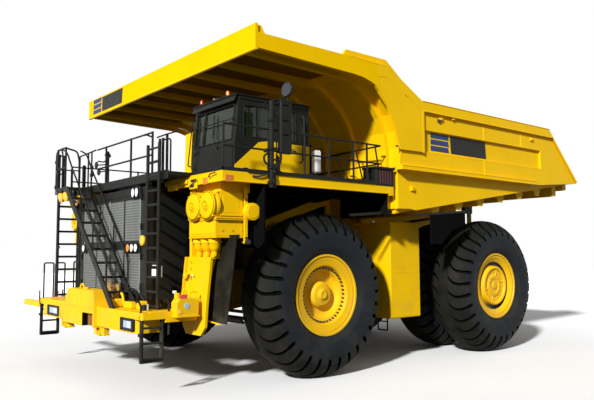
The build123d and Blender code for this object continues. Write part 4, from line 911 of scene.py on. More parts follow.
def landing_rails(s):
    """Gate posts, thin rails, the safety gate and the loops round the landing."""
    x, z, far = RIGHT_LADDER_X, LANDING, LOWER_LADDER_X
    for px, py, top in ((2.48, -3.55, 5.22), (2.62, -3.55, 5.22), (2.40, -3.34, 5.36)):
        s.tube([(px, py, z), (px, py, top)], .030, 10)
    for px in (-1.95, -1.72):
        s.tube([(px, -3.36, z), (px, -3.36, 5.48)], .022, 8)
    for radius, sides, bend, path in (
            # Over the left ladder's head.
            (.016, 8, .05, [(2.48, -3.62, 5.24), (2.40, -3.34, 5.36), (2.50, -3.12, 5.44)]),
            (.018, 8, .06, [(2.62, -3.55, 5.18), (2.86, -3.50, 5.18), (2.86, -3.50, z)]),
            (.021, 8, .05, [(1.215, -3.33, 5.50), (1.40, -3.33, 5.49), (1.67, -3.33, 5.40)]),
            # Safety gate and loop rails at the right-hand landing.
            (.024, 10, .10, [(x, -3.86, z), (x, -3.86, 5.60), (x, -3.66, 5.73), (x, -3.30, 5.66),
                             (x, -3.24, 5.40), (x, -3.24, z)]),
            (.018, 8, 0, [(x, -3.86, 5.10), (x, -3.24, 5.12)]),
            (.02, 10, .10, [(-2.2, -4.08, z), (-2.2, -4.08, 5.50), (-1.90, -4.08, 5.50), (-1.80, -4.09, 5.35),
                            (-1.80, -4.09, z)]),
            (.021, 8, 0, [(-2.55, -3.36, 5.46), (-1.45, -3.36, 5.50)]),
            (.018, 8, .1, [(-1.35, -3.34, 5.20), (-.95, -3.34, 5.13), (-.55, -3.34, 5.24)]),
            # Loop rails beside the lower ladders.
            (.02, 10, .05, hoop((-far, -4.10), (-far, -3.85), 2.58)),
            (.02, 10, .05, hoop((-far, -3.80), (-far, -3.55), 2.58)),
            (.02, 10, .08, hoop((-1.9, -3.70), (-1.55, -3.70), 2.62)),
            (.018, 8, .04, [(-far, -4.18, 1.50), (-far, -4.20, 1.62), (-far, -4.20, 1.86)]),
            (.018, 8, .04, [(-far, -3.62, 1.50), (-far, -3.60, 1.62), (-far, -3.60, 1.86)])):
        s.tube(path, radius, sides, bend)
    for y in (-4.16, -3.555):
        s.tube([(far, y, 1.20), (far, y, 1.80), (far, y - .05, 1.89), (far, y - .11, 1.87)], .022, 10, .06)
    s.boxes(.02, (-2.24, -2.14, -3.42, -3.34, z, 5.18), (-1.75, -1.62, -3.40, -3.34, 4.82, 4.92),
            (-1.75, -1.62, -3.40, -3.34, 5.02, 5.12))
    for px, py, pz in ((x, -3.86, 4.62), (x, -3.86, 5.3), (-2.2, -4.08, 5.2)):
        s.cube(px, py, pz, .04, .04, .05, .012)


def access_rails():
    s = Shape("black_plain")
    stair_rails(s)
    ladder_backs(s)
    landing_rails(s)
    s.build("access_rails", slot="black_paint")


for make in (grille, grille_lamps, bumper, bumper_gear, left_box, access_rails):
    make()


# ---- decks, air cleaners, mudflaps and mirrors ----

DECK_LOW, DECK_HIGH = axle_box("side_decks")
DECK_TOP, DECK_X = DECK_HIGH.z, DECK_HIGH.x
DECK_FRONT, DECK_REAR = DECK_LOW.y, DECK_HIGH.y
PLATE = (DECK_TOP, DECK_TOP + .006)         # the non-slip plate's bottom and top
RAIL_TOP = 5.36


def deck_trim():
    """Plates, fascia and stays of the side decks, drawn on the left and mirrored, and of the middle."""
    s = Shape("black_plain")
    x, front, rear, top = DECK_X, DECK_FRONT, DECK_REAR, DECK_TOP
    # Black plate edge above the fascia.
    edge = top - .065
    s.use("black").boxes(.004, (x - .02, x + .008, front - .008, rear + .004, edge, top + .004),
                         (2.9, x + .008, front - .008, front + .02, edge, top + .004),
                         (x - .02, x + .03, front + .6, rear - .5, edge - .012, edge + .012))
    s.use("chequer").boxes(.002, (1.27, x - .06, front + .06, -2.40, *PLATE),
                           (3.52, x - .06, -2.40, rear - .02, *PLATE), (1.27, 3.52, -.28, rear - .02, *PLATE))
    s.use("black_plain")
    for y in (front + .6 + .85 * i for i in range(6)):
        s.box((x - .10, x - .045), (y - .05, y + .05), (top, top + .03))
    # Leaning stays from the rear return of the handrail down to the deck's edge.
    for head, foot in (((3.90, 1.46), (x - .05, 1.45)), ((3.20, 1.50), (x - .02, .81)),
                       ((2.37, 1.58), (x - .02, .15))):
        s.tube([(*head, RAIL_TOP), (*foot, top)], .020, 8)
    # Reflectors, grab rods and brackets on the fascia.
    s.use("reflector").boxes(.006, (3.41, 3.58, front - .012, front, 4.20, 4.34),
                             (x, x + .012, front + .06, front + .24, 4.21, 4.35))
    s.use("yellow_plain").box((2.9, 3.2), (front - .03, front), (4.14, 4.37), .01)
    s.box((1.80, 2.9), (front - .02, front), (4.20, 4.39), .008)
    s.boxes(.02, (2.05, 2.45, front - .09, front - .02, 4.16, 4.30),
            (2.62, 2.84, front - .07, front - .02, 4.26, 4.37))
    s.box((x - .002, x + .010), (front + .02, rear - .02), (4.225, 4.245), .003)
    s.use("iron").boxes(.008, (2.95, 3.10, front - .05, front - .03, 4.18, 4.24),
                        (2.98, 3.17, front - .05, front - .03, 4.29, 4.34))
    s.tube([(2.98, front - .06, 4.20), (3.24, front - .06, 4.33)], .012, 6)
    s.tube([(x + .02, -2.35, 4.36), (x + .04, -2.20, 4.36), (x + .04, -1.98, 4.42)], .018, 8, .03)
    s.use("black_plain").tube([(3.66, front - .005, 4.36), (3.70, front - .06, 4.32),
                               (3.78, front - .07, 4.38), (3.95, front - .05, 4.40)], .012, 6, .03)
    s.mirror()
    s.use("chequer").boxes(.002, (-3.52, -1.27, -2.40, -.28, *PLATE),
                           (-1.25, 1.25, front - .49, -.05, *PLATE),
                           (-2.9, -1.3, front - .49, front + .02, *PLATE),
                           (1.3, 2.85, front - .49, front + .02, *PLATE))
    # Black lip over the grille, where the real truck has its maker's board, and the landing's kick plate.
    s.use("black").box((-3.05, 2.9), (front - .535, front - .505), (4.34, 4.535), .008)
    s.build("deck_trim")


def deck_beams():
    """Diagonal braces, tubes and pipes under the left and right decks, and near-black sheets that paint the
    shade behind and under them.
    """
    s = Shape("yellow_plain")
    s.prism([(-.40, 3.42), (-.40, 3.62), (1.66, 4.34), (1.66, 4.10)], "x", 1.84, 1.92)
    s.beam((1.88, -.40, 3.62), (1.88, 1.62, 4.325), .16, .02)
    s.use("black")
    for y in (-1.5, -.3, 1.1):
        s.prism([(1.4, 4.42), (4.05, 4.42), (4.05, 4.30), (2.2, 4.12), (1.4, 4.12)], "y", y, y + .06)
    s.use("black_plain").tube([(3.9, .59, 3.69), (3.9, 2.10, 3.81)], .035, 10)
    s.tube([(3.75, .2, 4.28), (3.75, 1.5, 4.30)], .03, 10)
    # Near-black sheets behind and under the decks: painted shade.
    s.use("void").boxes(.004, (1.78, 1.80, -1.95, 1.66, 3.46, 4.41), (2.38, 4.05, 1.702, 1.716, 3.70, 4.41))
    s.box((2.38, 4.06), (-2.02, 1.66), (4.205, 4.215), .002)
    s.mirror()
    s.build("deck_braces", slot="body_yellow")


CANISTER_Z = 3.77
CANISTER_COVER = [(.10, .288), (-.004, .288), (-.020, .280), (-.024, .262), (-.034, .256), (-.040, .240),
                  (-.040, .118), (-.062, .110), (-.062, .040), (-.050, .034), (-.050, 0)]
DUST_CUP = [(.10, .13), (.04, .135), (.02, .15), (.0, .15), (-.02, .135), (-.10, .115), (-.16, .085),
            (-.18, .06), (-.26, .055), (-.28, .045), (-.28, 0)]


def canister(s, x, face):
    """The front cover of an air cleaner, with its seams in painted shade, its nut and four clamps."""
    # Cover, rim and nut in yellow; the seam rings in a shaded yellow that paints the shade in their grooves.
    for paint, steps, profile in (
            ("yellow_plain", 48, CANISTER_COVER),
            ("yellow_plain", 48, [(.125, .30), (.07, .30), (.06, .292), (.06, .28)]),
            ("yellow_seam_shade", 48, [(-.012, .284), (-.026, .276), (-.030, .268), (-.026, .262)]),
            ("yellow_seam_shade", 48, [(.002, .286), (.002, .3075), (.010, .3075)]),
            ("yellow_seam_shade", 24, [(-.064, .088), (-.067, .080), (-.064, .072)]),
            ("yellow_plain", 12, [(-.045, .034), (-.075, .032), (-.080, .018), (-.080, 0)])):
        s.use(paint).lathe(profile, (x, face + .01, CANISTER_Z), "y", steps)
    for direction in circle(4, .5):
        clamp = off_axis((x, face + .035, CANISTER_Z), "y", 0, .292, direction)
        s.cube(*clamp, .02, .035, .02, .006)


def air_cleaner_trim():
    s = Shape("yellow_plain")
    low, high = axle_box("air_cleaners")
    face = low.y                     # front of the canister covers
    band, box = face + .090, face + .130
    right, left = high.x, high.x - 1.03
    for x in (right - .755, right - .225):
        canister(s, x, face)
    # Lips and folded edges of the box and of the band below it, and its seams in painted shade.
    for z, grow in ((3.135, .02), (3.49, .02), (3.52, .035)):
        s.box((left - grow, right + grow), (band - grow, box + .60), (z - .016, z + .016), .006)
    s.box((right - .004, right + .012), (box + .03, box + .58), (3.56, 4.03), .008)
    s.box((right + .006, right + .016), (box + .10, box + .50), (3.62, 3.97), .006)
    s.box((left + .04, right - .04), (band - .012, band), (3.20, 3.45), .01)
    # Seams in a shaded yellow: painted shade.
    s.use("yellow_seam_shade")
    for z in (3.156, 3.472):
        s.box((left - .012, right + .014), (band - .014, box + .59), (z - .004, z + .004), .001)
    s.use("yellow_plain")
    s.bolts((right + .002, box + .06, 3.30), (right + .002, box + .54, 3.30), 3, (1, 0, 0), .016, .010)
    s.bolts((left + .08, band, 3.17), (right - .08, band, 3.17), 5, FORWARD, .014, .008)
    s.beam((left + .35, box - .006, 4.04), (right, box - .006, 4.04), .03, .03, (0, 1, 0), .006)
    # Dust cups with their spouts on the stubs.
    for x in (2.90, 3.20, 3.50):
        y = box + .12
        s.use("yellow_plain").lathe(DUST_CUP, (x, y, 3.03), "z", 24)
        s.use("iron")
        for k in range(3):
            t = 2 * math.pi * k / 3 + .4
            s.cube(x + .14 * math.cos(t), y + .14 * math.sin(t), 3.03, .010, .010, .04)
    # Outlet drum beside the box, strap plate with clamps.
    drum = (right + .13, box + .76, 3.66)
    s.use("yellow_plain")
    s.lathe([(-.35, .18), (-.02, .18), (0, .175), (0, .15), (.012, .14), (.012, 0)], drum, "x", 36)
    s.lathe([(-.40, .165), (-.02, .165)], drum, "x", 36)
    s.box((right, right + .035), (box + .60, box + .69), (3.00, 4.14), .008)
    s.tube([(right - .1, box + .66, 3.04), (right + .06, box + .66, 3.04)], .035, 10)
    s.use("iron").tube([(right + .04, box + .66, 3.04), (right + .11, box + .66, 3.04)], .05, 12)
    s.bolts((right + .035, box + .645, 3.12), (right + .035, box + .645, 3.90), 2, (1, 0, 0), .028, .02)
    # Ribs, welds and bolts on the upright below.
    up = axle_box("deck_uprights")[0].y
    s.use("yellow_plain")
    s.prism([(2.50, 3.14), (3.57, 3.14), (3.47, 2.86), (3.22, 2.30), (2.73, 1.38), (2.50, 1.38)],
            "y", up + .21, up + .235)
    s.beam((3.47, up + .20, 2.86), (2.74, up + .20, 1.38), .02, .05, (0, 1, 0))
    s.bolts((2.62, up, 1.62), (3.02, up, 1.62), 3, FORWARD, .024, .016)
    s.bolts((2.74, up, 2.52), (2.74, up, 2.66), 2, FORWARD, .022, .014)
    s.lathe([(0, 0), (0, .07), (-.03, .07), (-.04, .05), (-.04, 0)], (2.58, up, 2.34), "y", 18)
    s.tube([(2.55, up - .01, 1.80), (2.55, up - .05, 1.86), (2.55, up - .05, 2.02), (2.55, up - .01, 2.08)],
           .016, 8, .03)
    s.use("iron").box((2.72, 2.76), (up - .012, up), (2.30, 2.38))
    s.use("white_paint")
    s.lathe([(0, 0), (0, .026), (-.006, .024), (-.008, 0)], (2.86, up - .002, 2.36), "y", 12)
    s.mirror()
    s.build("air_cleaner_trim", slot="body_yellow")


FLAP_Y = -2.685
FLAP_TOP, FLAP_FOOT = (3.50, 4.09, 3.16), (2.92, 3.77, 1.40)     # left x, right x and z of its ends
FLAP_ROWS, FLAP_COLUMNS = 14, 6


def mudflaps():
    """Slightly waved rubber boards in front of the wheels, and near-black guard boards beside them whose
    colour is painted shade.
    """
    s = Shape("flap")
    y, rows, columns = FLAP_Y, FLAP_ROWS, FLAP_COLUMNS
    width = columns + 1
    verts = []
    for depth in (0, .018):
        for t in (i / rows for i in range(rows + 1)):
            left, right, z = (a + (b - a) * t for a, b in zip(FLAP_TOP, FLAP_FOOT))
            for u in (k / columns for k in range(width)):
                sway = -.02 * abs(math.sin(3 * t + u * 2.2)) * t
                verts.append((left + (right - left) * u, y + sway + depth, z))
    n = width * (rows + 1)
    cells = [i * width + k for i in range(rows) for k in range(columns)]
    faces = [(a, a + 1, a + width + 1, a + width) for a in cells]
    faces += [(n + a, n + a + width, n + a + width + 1, n + a + 1) for a in cells]
    edge = [(i * width, (i + 1) * width) for i in range(rows)]
    edge += [(b + columns, a + columns) for a, b in edge]
    edge += [(k + 1, k) for k in range(columns)]
    edge += [(rows * width + k, rows * width + k + 1) for k in range(columns)]
    s.put(verts, faces + [(a, b, n + b, n + a) for a, b in edge])
    s.use("yellow_plain").beam((2.92, y - .03, 1.43), (3.56, y - .03, 1.385), .02, .03)
    s.use("black_plain").box((3.55, 4.13), (y + .02, y + .05), (3.10, 3.18), .008)
    s.bolts((3.62, y - .002, 3.12), (4.06, y - .002, 3.12), 4, FORWARD, .018, .012)
    # Near-black boards beside the flaps: painted shade.
    s.use("void").box((1.62, 3.30), (-2.66, -2.64), (1.55, 4.30))
    s.prism([(3.30, 4.41), (4.10, 4.41), (4.10, 3.02), (3.95, 2.92), (3.30, 2.92)], "y", -2.03, -1.99)
    s.mirror()
    s.build("mudflaps", slot="tyre_rubber")


MIRROR_X, MIRROR_POST_Y = DECK_X + .055, -1.90


def mirror_trim():
    s = Shape("black_plain")
    x, post = MIRROR_X, MIRROR_POST_Y
    y0, y1 = post + .21, post + .49
    s.use("void")
    for z in (5.25, 5.55, 5.88):
        s.box((x + .055, x + .0615), (y0 + .05, y1 - .08), (z, z + .035), .002)
    s.use("black").box((x - .065, x + .065), (y0 - .01, y0 + .05), (4.90, 5.99), .02)
    for z0, z1 in ((5.96, 6.01), (4.88, 4.92)):
        s.box((x - .07, x + .07), (y0 - .012, y1 + .012), (z0, z1), .015)
    # Round mirror above the tall one.
    dish = (x, post + .455, 6.26)
    s.use("black_plain")
    s.lathe([(.0, 0), (0, .10), (-.012, .150), (-.03, .157), (-.045, .145), (-.05, .135)], dish, "y", 28)
    s.use("mirror_glass").lathe([(.0, .142), (.006, .13), (.014, .07), (.018, 0)], dish, "y", 28)
    s.use("pale_dark").lathe([(0, 0), (-.03, .09), (-.022, .145), (.0, .155)], (x, post + .40, 6.26), "y", 28)
    # Arm to the mirrors, and the foot of the post with its clamps and hoses.
    s.use("black_plain")
    for z in (4.25, 4.56, 4.95, 5.55):
        s.box((x - .07, x + .065), (post - .07, post + .07), (z - .035, z + .035), .012)
        s.bolt((x + .065, post - .03, z), (1, 0, 0), .016, .012)
    for radius, bend, path in (
            (.014, .1, [(0, 0, 5.72), (-.02, -.22, 5.84), (-.03, -.1, 5.93), (-.02, .2, 6.01),
                        (-.02, .43, 6.10)]),
            (.022, 0, [(0, 0, 4.97), (0, .20, 4.97)]),
            (.022, .08, [(0, -.06, 4.60), (.03, -.20, 4.66), (.03, -.22, 4.78), (0, -.08, 4.86)]),
            (.024, .08, [(0, .06, 4.60), (.03, .20, 4.66), (.03, .24, 4.80), (0, .22, 4.92)]),
            (.020, .08, [(-.02, .10, 4.14), (.01, .11, 4.30), (0, .06, 4.48)])):
        s.tube([(x + dx, post + dy, z) for dx, dy, z in path], radius, 8, bend)
    s.box((x - .03, x + .05), (post - .20, post - .12), (4.86, 4.94), .02)
    s.box((x - .04, x + .04), (post + .08, post + .22), (4.50, 4.66), .03)
    s.build("mirror_trim", slot="black_paint")
    # The right column carries only two small round mirrors.
    s = Shape("black_plain")
    for z, y in ((5.50, -2.22), (5.30, -2.14)):
        s.tube([(-x, post, z + .05), (-x, y, z)], .018, 8)
        s.lathe([(.0, 0), (0, .08), (-.012, .105), (-.03, .11), (-.045, .10), (-.05, 0)], (-x, y, z), "y", 20)
    for z in (4.25, 4.62, 5.85):
        s.cube(-x, post, z, .07, .07, .035, .012)
    s.build("mirror_trim_right", slot="black_paint")


# ---- cab ----

CAB_LEFT, CAB_RIGHT = 3.50, 1.72         # x of the cab's sides
CAB_FACE = -2.352                        # y of the cab's front at the windscreen's foot
CAB_REAR = -.30
WINDOW_Z = (5.30, 5.98)
ROOF = 6.20
SCREEN_FOOT, SCREEN_LEAN = 5.15, .11 / 1.02


def screen(x, z, out=.0):
    """A point on the leaning windscreen, or standing off it."""
    return (x, CAB_FACE + (z - SCREEN_FOOT) * SCREEN_LEAN - out, z)


def gasket(s, x, y0, y1):
    z0, z1 = WINDOW_Z
    for a, b in (((y0, z0), (y1, z0)), ((y0, z1), (y1, z1)), ((y0, z0), (y0, z1)), ((y1, z0), (y1, z1))):
        s.tube([(x, *a), (x, *b)], .012, 6)


def cab_panels():
    s = Shape("yellow")
    panel = [(-2.352, 4.50), (-2.352, 4.66), (-1.73, 5.20), (-1.50, 5.245), (-.298, 5.245), (-.298, 4.50)]
    s.prism(panel, "x", CAB_LEFT + .001, CAB_LEFT + .010)
    s.prism(panel, "x", CAB_RIGHT - .008, CAB_RIGHT - .001)
    s.use("yellow_plain").box((1.74, 3.48), (-.299, -.285), (4.50, 5.24))
    s.build("cab_side_panels", angle=38, slot="body_yellow")


def cab_roof(s):
    s.use("black").box((1.69, 3.53), (-2.33, -.27), (6.165, ROOF), .012)
    s.prism([(-2.30, 6.10), (-2.36, 6.03), (-2.36, 6.06), (-2.30, 6.175)], "x", 1.74, 3.48)
    for x0, x1 in ((CAB_LEFT, CAB_LEFT + .022), (CAB_RIGHT - .02, CAB_RIGHT)):
        s.box((x0, x1), (-2.25, CAB_REAR), (6.09, 6.13), .006)
    s.box((2.2, 3.0), (-1.5, -.6), (ROOF, 6.30), .04)
    s.use("black_plain")
    for x in (2.26 + k * .11 for k in range(7)):
        s.box((x, x + .04), (-1.44, -.66), (6.298, 6.308), .003)
    # Beacons, horn and aerial base.
    for x, lens in ((1.90, "red_lens"), (3.0, "amber")):
        s.use("black_plain").lathe([(0, .05), (.05, .05), (.055, .04)], (x, -2.2, ROOF), "z", 14)
        s.use(lens).lathe([(.055, .04), (.12, .038), (.15, .025), (.16, 0)], (x, -2.2, ROOF), "z", 14)
    s.use("steel")
    s.lathe([(0, .06), (-.05, .05), (-.16, .02), (-.20, .02), (-.2, 0)], (2.5, -2.05, 6.26), "y", 14)
    s.use("black_plain").tube([(2.5, -2.0, 6.19), (2.5, -2.0, 6.26)], .015, 6)


def windscreen(s):
    """Gasket, split, rail and wipers of the windscreen, and the bare plate below it."""
    s.use("rubber")
    for z in (5.225, 5.985):
        s.tube([screen(1.83, z, .004), screen(3.39, z, .004)], .016, 6)
    for x in (1.845, 3.375):
        s.tube([screen(x, 5.225, .004), screen(x, 5.985, .004)], .016, 6)
    s.use("black_plain").beam(screen(2.18, 5.23, -.01), screen(2.18, 5.98, -.01), .035, .03, (0, 1, 0))
    for path in (((1.83, 5.66, -.02), (1.83, 5.66, .05)), ((3.40, 5.66, -.02), (3.40, 5.66, .05)),
                 ((1.83, 5.66, .05), (3.40, 5.66, .05)),
                 ((2.02, 5.10, .03), (2.05, 5.30, .03), (2.02, 5.82, .022)),
                 ((2.85, 5.10, .03), (2.70, 5.30, .03), (2.60, 5.85, .022))):
        s.tube([screen(*p) for p in path], .011, 6)
    for x in (2.02, 2.85):
        s.lathe([(0, .035), (-.04, .03), (-.045, 0)], (x, CAB_FACE, 5.10), "y", 12)
    s.tube([screen(1.76, 4.8, 0), screen(1.76, 4.8, .08), screen(1.76, 5.9, .08), screen(1.76, 5.9, 0)],
           .014, 8, .04)
    for z in (4.70, 5.05):
        s.box((1.86, 1.96), (-2.40, -2.36), (z, z + .02))
    s.use("rubber")
    for x0, x1 in ((2.02, 2.02), (2.62, 2.60)):
        s.beam(screen(x0, 5.35, .018), screen(x1, 5.9, .014), .02, .014, (0, 1, 0))
    s.use("black").box((1.80, 3.42), (-2.362, -2.350), (4.62, 5.14), .006)


def cab_trim():
    s = Shape("black")
    cab_roof(s)
    windscreen(s)
    s.use("rubber")
    for x, y0, y1 in ((CAB_LEFT, -2.12, -1.38), (CAB_LEFT, -.52, -.38),
                      (CAB_RIGHT, -2.12, -1.38), (CAB_RIGHT, -1.20, -.50)):
        gasket(s, x, y0, y1)
    s.use("black_plain")
    for x0, x1 in ((3.49, 3.52), (1.70, 1.725)):
        s.box((x0, x1), (-1.76, -1.74), WINDOW_Z)
    # Grab rails each side of the door.
    x = CAB_LEFT
    for y in (-1.32, -.58):
        s.tube([(x, y, 4.85), (x + .10, y, 4.87), (x + .10, y, 5.85), (x, y, 5.87)], .016, 8, .04)
    # Yellow cover beside the cab, towards the middle of the truck.
    s.use("yellow_plain")
    s.prism([(-2.36, 4.50), (-2.34, 5.60), (-2.20, 5.66), (-1.10, 5.66), (-1.05, 4.50)], "x", 1.41, CAB_RIGHT)
    s.box((1.40, 1.415), (-2.20, -1.25), (4.75, 5.50), .006)
    s.bolts((1.41, -2.1, 5.58), (1.41, -1.2, 5.58), 4, (-1, 0, 0), .016, .01)
    # White box at the rear corner.
    s.use("white_bright").box((3.52, 3.68), (-.27, -.07), (4.63, 5.16), .035)
    s.use("black_plain").box((3.3, 3.54), (-.24, -.10), (4.70, 5.08), .02)
    s.build("cab_trim", slot="black_paint")


def door_trim():
    s = Shape("black_plain")
    x, (z0, z1) = CAB_LEFT, WINDOW_Z
    y0, y1 = -1.16, -.72
    s.tube([(x, y0, z0), (x, y1, z0), (x, y1, z1), (x, y0, z1), (x, y0, z0)], .012, 6)
    s.box((x - .005, x + .015), (-.82, -.70), (5.08, 5.14), .006)
    s.use("steel")
    s.tube([(x + .015, -.80, 5.11), (x + .045, -.80, 5.11), (x + .045, -.70, 5.11)], .010, 6, .02)
    s.use("black").box((x - .002, x + .008), (-1.20, -.69), (4.64, 5.22), .006)
    s.use("yellow_plain").box((x + .003, x + .012), (-1.235, -.655), (4.575, 5.235))
    s.build("door_trim", "cab_door", slot="black_paint")


def cushion(x, y, z, size, crown, welts=2):
    """A crowned cushion about (x, y, z): its sides pull in between the corners, channels run across it."""
    nx, ny = 18, 16
    sx, sy, sz = size
    channels = [-1 + 2 * (k + 1) / (welts + 1) for k in range(welts)]
    verts = []
    for top in (1, 0):
        for v in (2 * j / ny - 1 for j in range(ny + 1)):
            for u in (2 * i / nx - 1 for i in range(nx + 1)):
                height = -sz / 2
                if top:
                    puff = (1 - u ** 6) * (1 - v ** 6)
                    dip = .012 * sum(math.exp(-((u - c) / .045) ** 2) for c in channels)
                    height = sz / 2 - .02 + puff * (crown * (1 - .25 * u * u - .2 * v * v) - dip)
                verts.append((x + u * sx / 2 * (1 - .035 * (1 - v * v)),
                              y + v * sy / 2 * (1 - .035 * (1 - u * u)), z + height))
    width, n = nx + 1, (nx + 1) * (ny + 1)
    faces = []
    for a in (j * width + i for j in range(ny) for i in range(nx)):
        faces += [(a, a + 1, a + width + 1, a + width), (n + a, n + a + width, n + a + width + 1, n + a + 1)]
    edge = [j * width for j in range(ny, -1, -1)] + list(range(1, width))
    edge += [j * width + nx for j in range(1, ny + 1)] + [ny * width + i for i in range(nx - 1, 0, -1)]
    return verts, faces + [(a, b, n + b, n + a) for a, b in zip(edge, edge[1:] + edge[:1])]


def seats():
    """Operator's and trainer's seats, in the space of their CAD solids."""
    upright = Matrix.Rotation(math.radians(84), 4, "X")
    for name, x in (("operator", 2.95), ("trainer", 2.15)):
        s = Shape("plastic")
        pedestal = [(.0, .16), (.04, .15), (.06, .11), (.26, .10), (.30, .14), (.33, .14)]
        s.lathe(pedestal, (x, -1.10, 4.56), "z", 20)
        s.box((x - .22, x + .22), (-1.34, -.88), (4.86, 4.90), .015)
        s.box((x - .06, x + .06), (-.80, -.75), (4.90, 5.20), .01)
        for arm in (x - .235, x + .235):
            s.box((arm - .02, arm + .02), (-1.15, -.80), (5.14, 5.18), .012)
            s.tube([(arm, -.80, 5.0), (arm, -.80, 5.16)], .015, 8)
        s.use("seat_trim")
        s.tube([(x - .22, -.76, 5.36), (x - .10, -.90, 5.10), (x + .16, -.95, 4.99)], .012, 6, .1)
        s.use("steel").box((x + .15, x + .19), (-1.0, -.94), (4.97, 5.03), .006)
        s.build(f"seat_base_{name}", slot="seat_cover")
        s = Shape("seat_cloth")
        s.put(*cushion(x, -1.11, 4.955, (.50, .52, .11), .035))
        pad = s.build(f"seat_cushion_{name}", angle=60, slot="seat_cover")
        s = Shape("seat_cloth")
        s.place = Matrix.Translation((x, -.79, 5.24)) @ upright
        s.put(*cushion(0, 0, 0, (.47, .56, .10), .03))
        s.place = Matrix.Translation((x, -.775, 5.545)) @ upright
        s.put(*cushion(0, 0, 0, (.27, .13, .09), .02, 0))
        back = s.build(f"seat_back_{name}", angle=60, slot="seat_cover")
        for piece in (pad, back):
            sub = piece.modifiers.new("smooth", "SUBSURF")
            sub.levels = sub.render_levels = 1
        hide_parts("cab_seats")


def cab_inside():
    s = Shape("plastic")
    s.place = Matrix.Translation((2.95, -1.74, 5.26)) @ Matrix.Rotation(math.radians(-48), 4, "X")
    s.lathe([(-.02, .05), (.02, .05), (.03, .03), (.03, 0)], (0, 0, 0), "z", 16)
    s.place = None
    s.box((2.55, 3.36), (-2.05, -1.98), (5.02, 5.16), .02)
    s.use("dial")
    for x in (2.63 + .15 * k for k in range(5)):
        s.lathe([(0, 0), (0, .035), (.006, .032), (.008, 0)], (x, -1.976, 5.09), "y", 14)
    s.use("void").box((2.0, 2.4), (-2.04, -2.0), (5.05, 5.20), .01)
    s.use("plastic").box((3.18, 3.40), (-1.35, -.85), (4.95, 5.05), .03)
    s.tube([(3.28, -1.25, 5.05), (3.28, -1.27, 5.16)], .012, 8)
    s.lathe([(0, 0), (.0, .025), (.03, .028), (.05, 0)], (3.28, -1.27, 5.15), "z", 12)
    for x in (2.82, 3.05):
        s.box((x - .05, x + .05), (-1.98, -1.95), (4.62, 4.80), .01)
    s.build("cab_controls", slot="black_paint")


def cabinet_trim():
    s = Shape("black")
    low, high = axle_box("control_cabinet")
    y0, y1 = low.y, high.y
    for x in (-.75, -.2, .35, .9):
        s.use("black").box((x - .25, x + .25), (y0 - .012, y0), (4.6, 5.6), .008)
        s.use("steel").box((x + .17, x + .20), (y0 - .03, y0 - .01), (5.0, 5.15), .006)
        s.use("black_plain")
        for z in (4.75, 5.45):
            s.tube([(x - .25, y0 - .016, z - .05), (x - .25, y0 - .016, z + .05)], .012, 6)
    s.use("black")
    for z in (4.75 + k * .09 for k in range(9)):
        for x in ((1.5, 1.515), (-1.265, -1.25)):
            s.box(x, (y0 + .2, y1 - .2), (z, z + .04))
    s.box((-1.3, 1.55), (y0 - .03, y1 + .02), (5.70, 5.73), .01)
    # Louvred black box on the left deck's outer edge, and its twin.
    for side in BOTH:
        s.use("black").box((side * 3.70, side * 4.15), (1.22, 1.845), (4.40, 4.80), .02)
        s.box((side * 3.68, side * 4.18), (1.20, 1.87), (4.80, 4.86), .015)
        s.use("maroon")
        for y in (1.34 + k * .09 for k in range(5)):
            s.box((side * 4.148, side * 4.157), (y, y + .035), (4.46, 4.76), .003)
        s.use("yellow_plain").box((side * 4.09, side * 4.135), (DECK_REAR - .02, 1.84), (4.18, 4.40), .006)
    s.use("chequer").box((-1.2, 1.2), (-2.9, -.1), (4.501, 4.509), .002)
    s.build("cabinet_trim", slot="black_paint")


for make in (deck_trim, deck_beams, air_cleaner_trim, mudflaps, mirror_trim, cab_panels, cab_trim, door_trim,
             seats, cab_inside, cabinet_trim):
    make()


# ---- dump body ----

RECESS_X, SIDE_X, RAIL_X = 4.23, 4.30, 4.37              # recessed panel, side sheet and rails
CANOPY_FACE = -2.44                                      # y of the canopy's front panel
FLOOR_FRONT, FLOOR_TAIL = (2.62, 3.86), (10.37, 5.04)    # y and z of the floor's lower face
FLOOR_THICKNESS = .17


def under(y):
    """Height of the body floor's lower face."""
    (y0, z0), (y1, z1) = FLOOR_FRONT, FLOOR_TAIL
    return z0 + (y - y0) * (z1 - z0) / (y1 - y0)


def slanted(a, b, z, height, lean_a, lean_b):
    """Outline of a stripe from a to b whose ends lean by so much at the top."""
    return [(a, z), (b, z), (b + lean_b, z + height), (a + lean_a, z + height)]


def body_marks():
    """Blank stripes and plates, where the real truck carries lettering."""
    s = Shape("stripe_blue")
    x, y, film = RECESS_X, CANOPY_FACE, .004
    for k in range(3):
        s.prism(slanted(3.15, 3.90, 5.735 - k * .165, .135, 0, -.04), "x", x, x + film)
    s.use("plate_dark").prism(slanted(3.98, 5.55, 5.40, .47, -.04, -.04), "x", x, x + film)
    s.mirror()
    s.use("stripe_blue")
    for k in range(3):
        s.prism(slanted(-4.02, -3.44, 7.30 - k * .155, .125, 0, .04), "y", y - film, y)
    s.use("plate_dark").prism(slanted(-3.36, -1.98, 6.985, .425, 0, .04), "y", y - film, y)
    s.build("body_stripes", "dump_body", slot="black_paint")


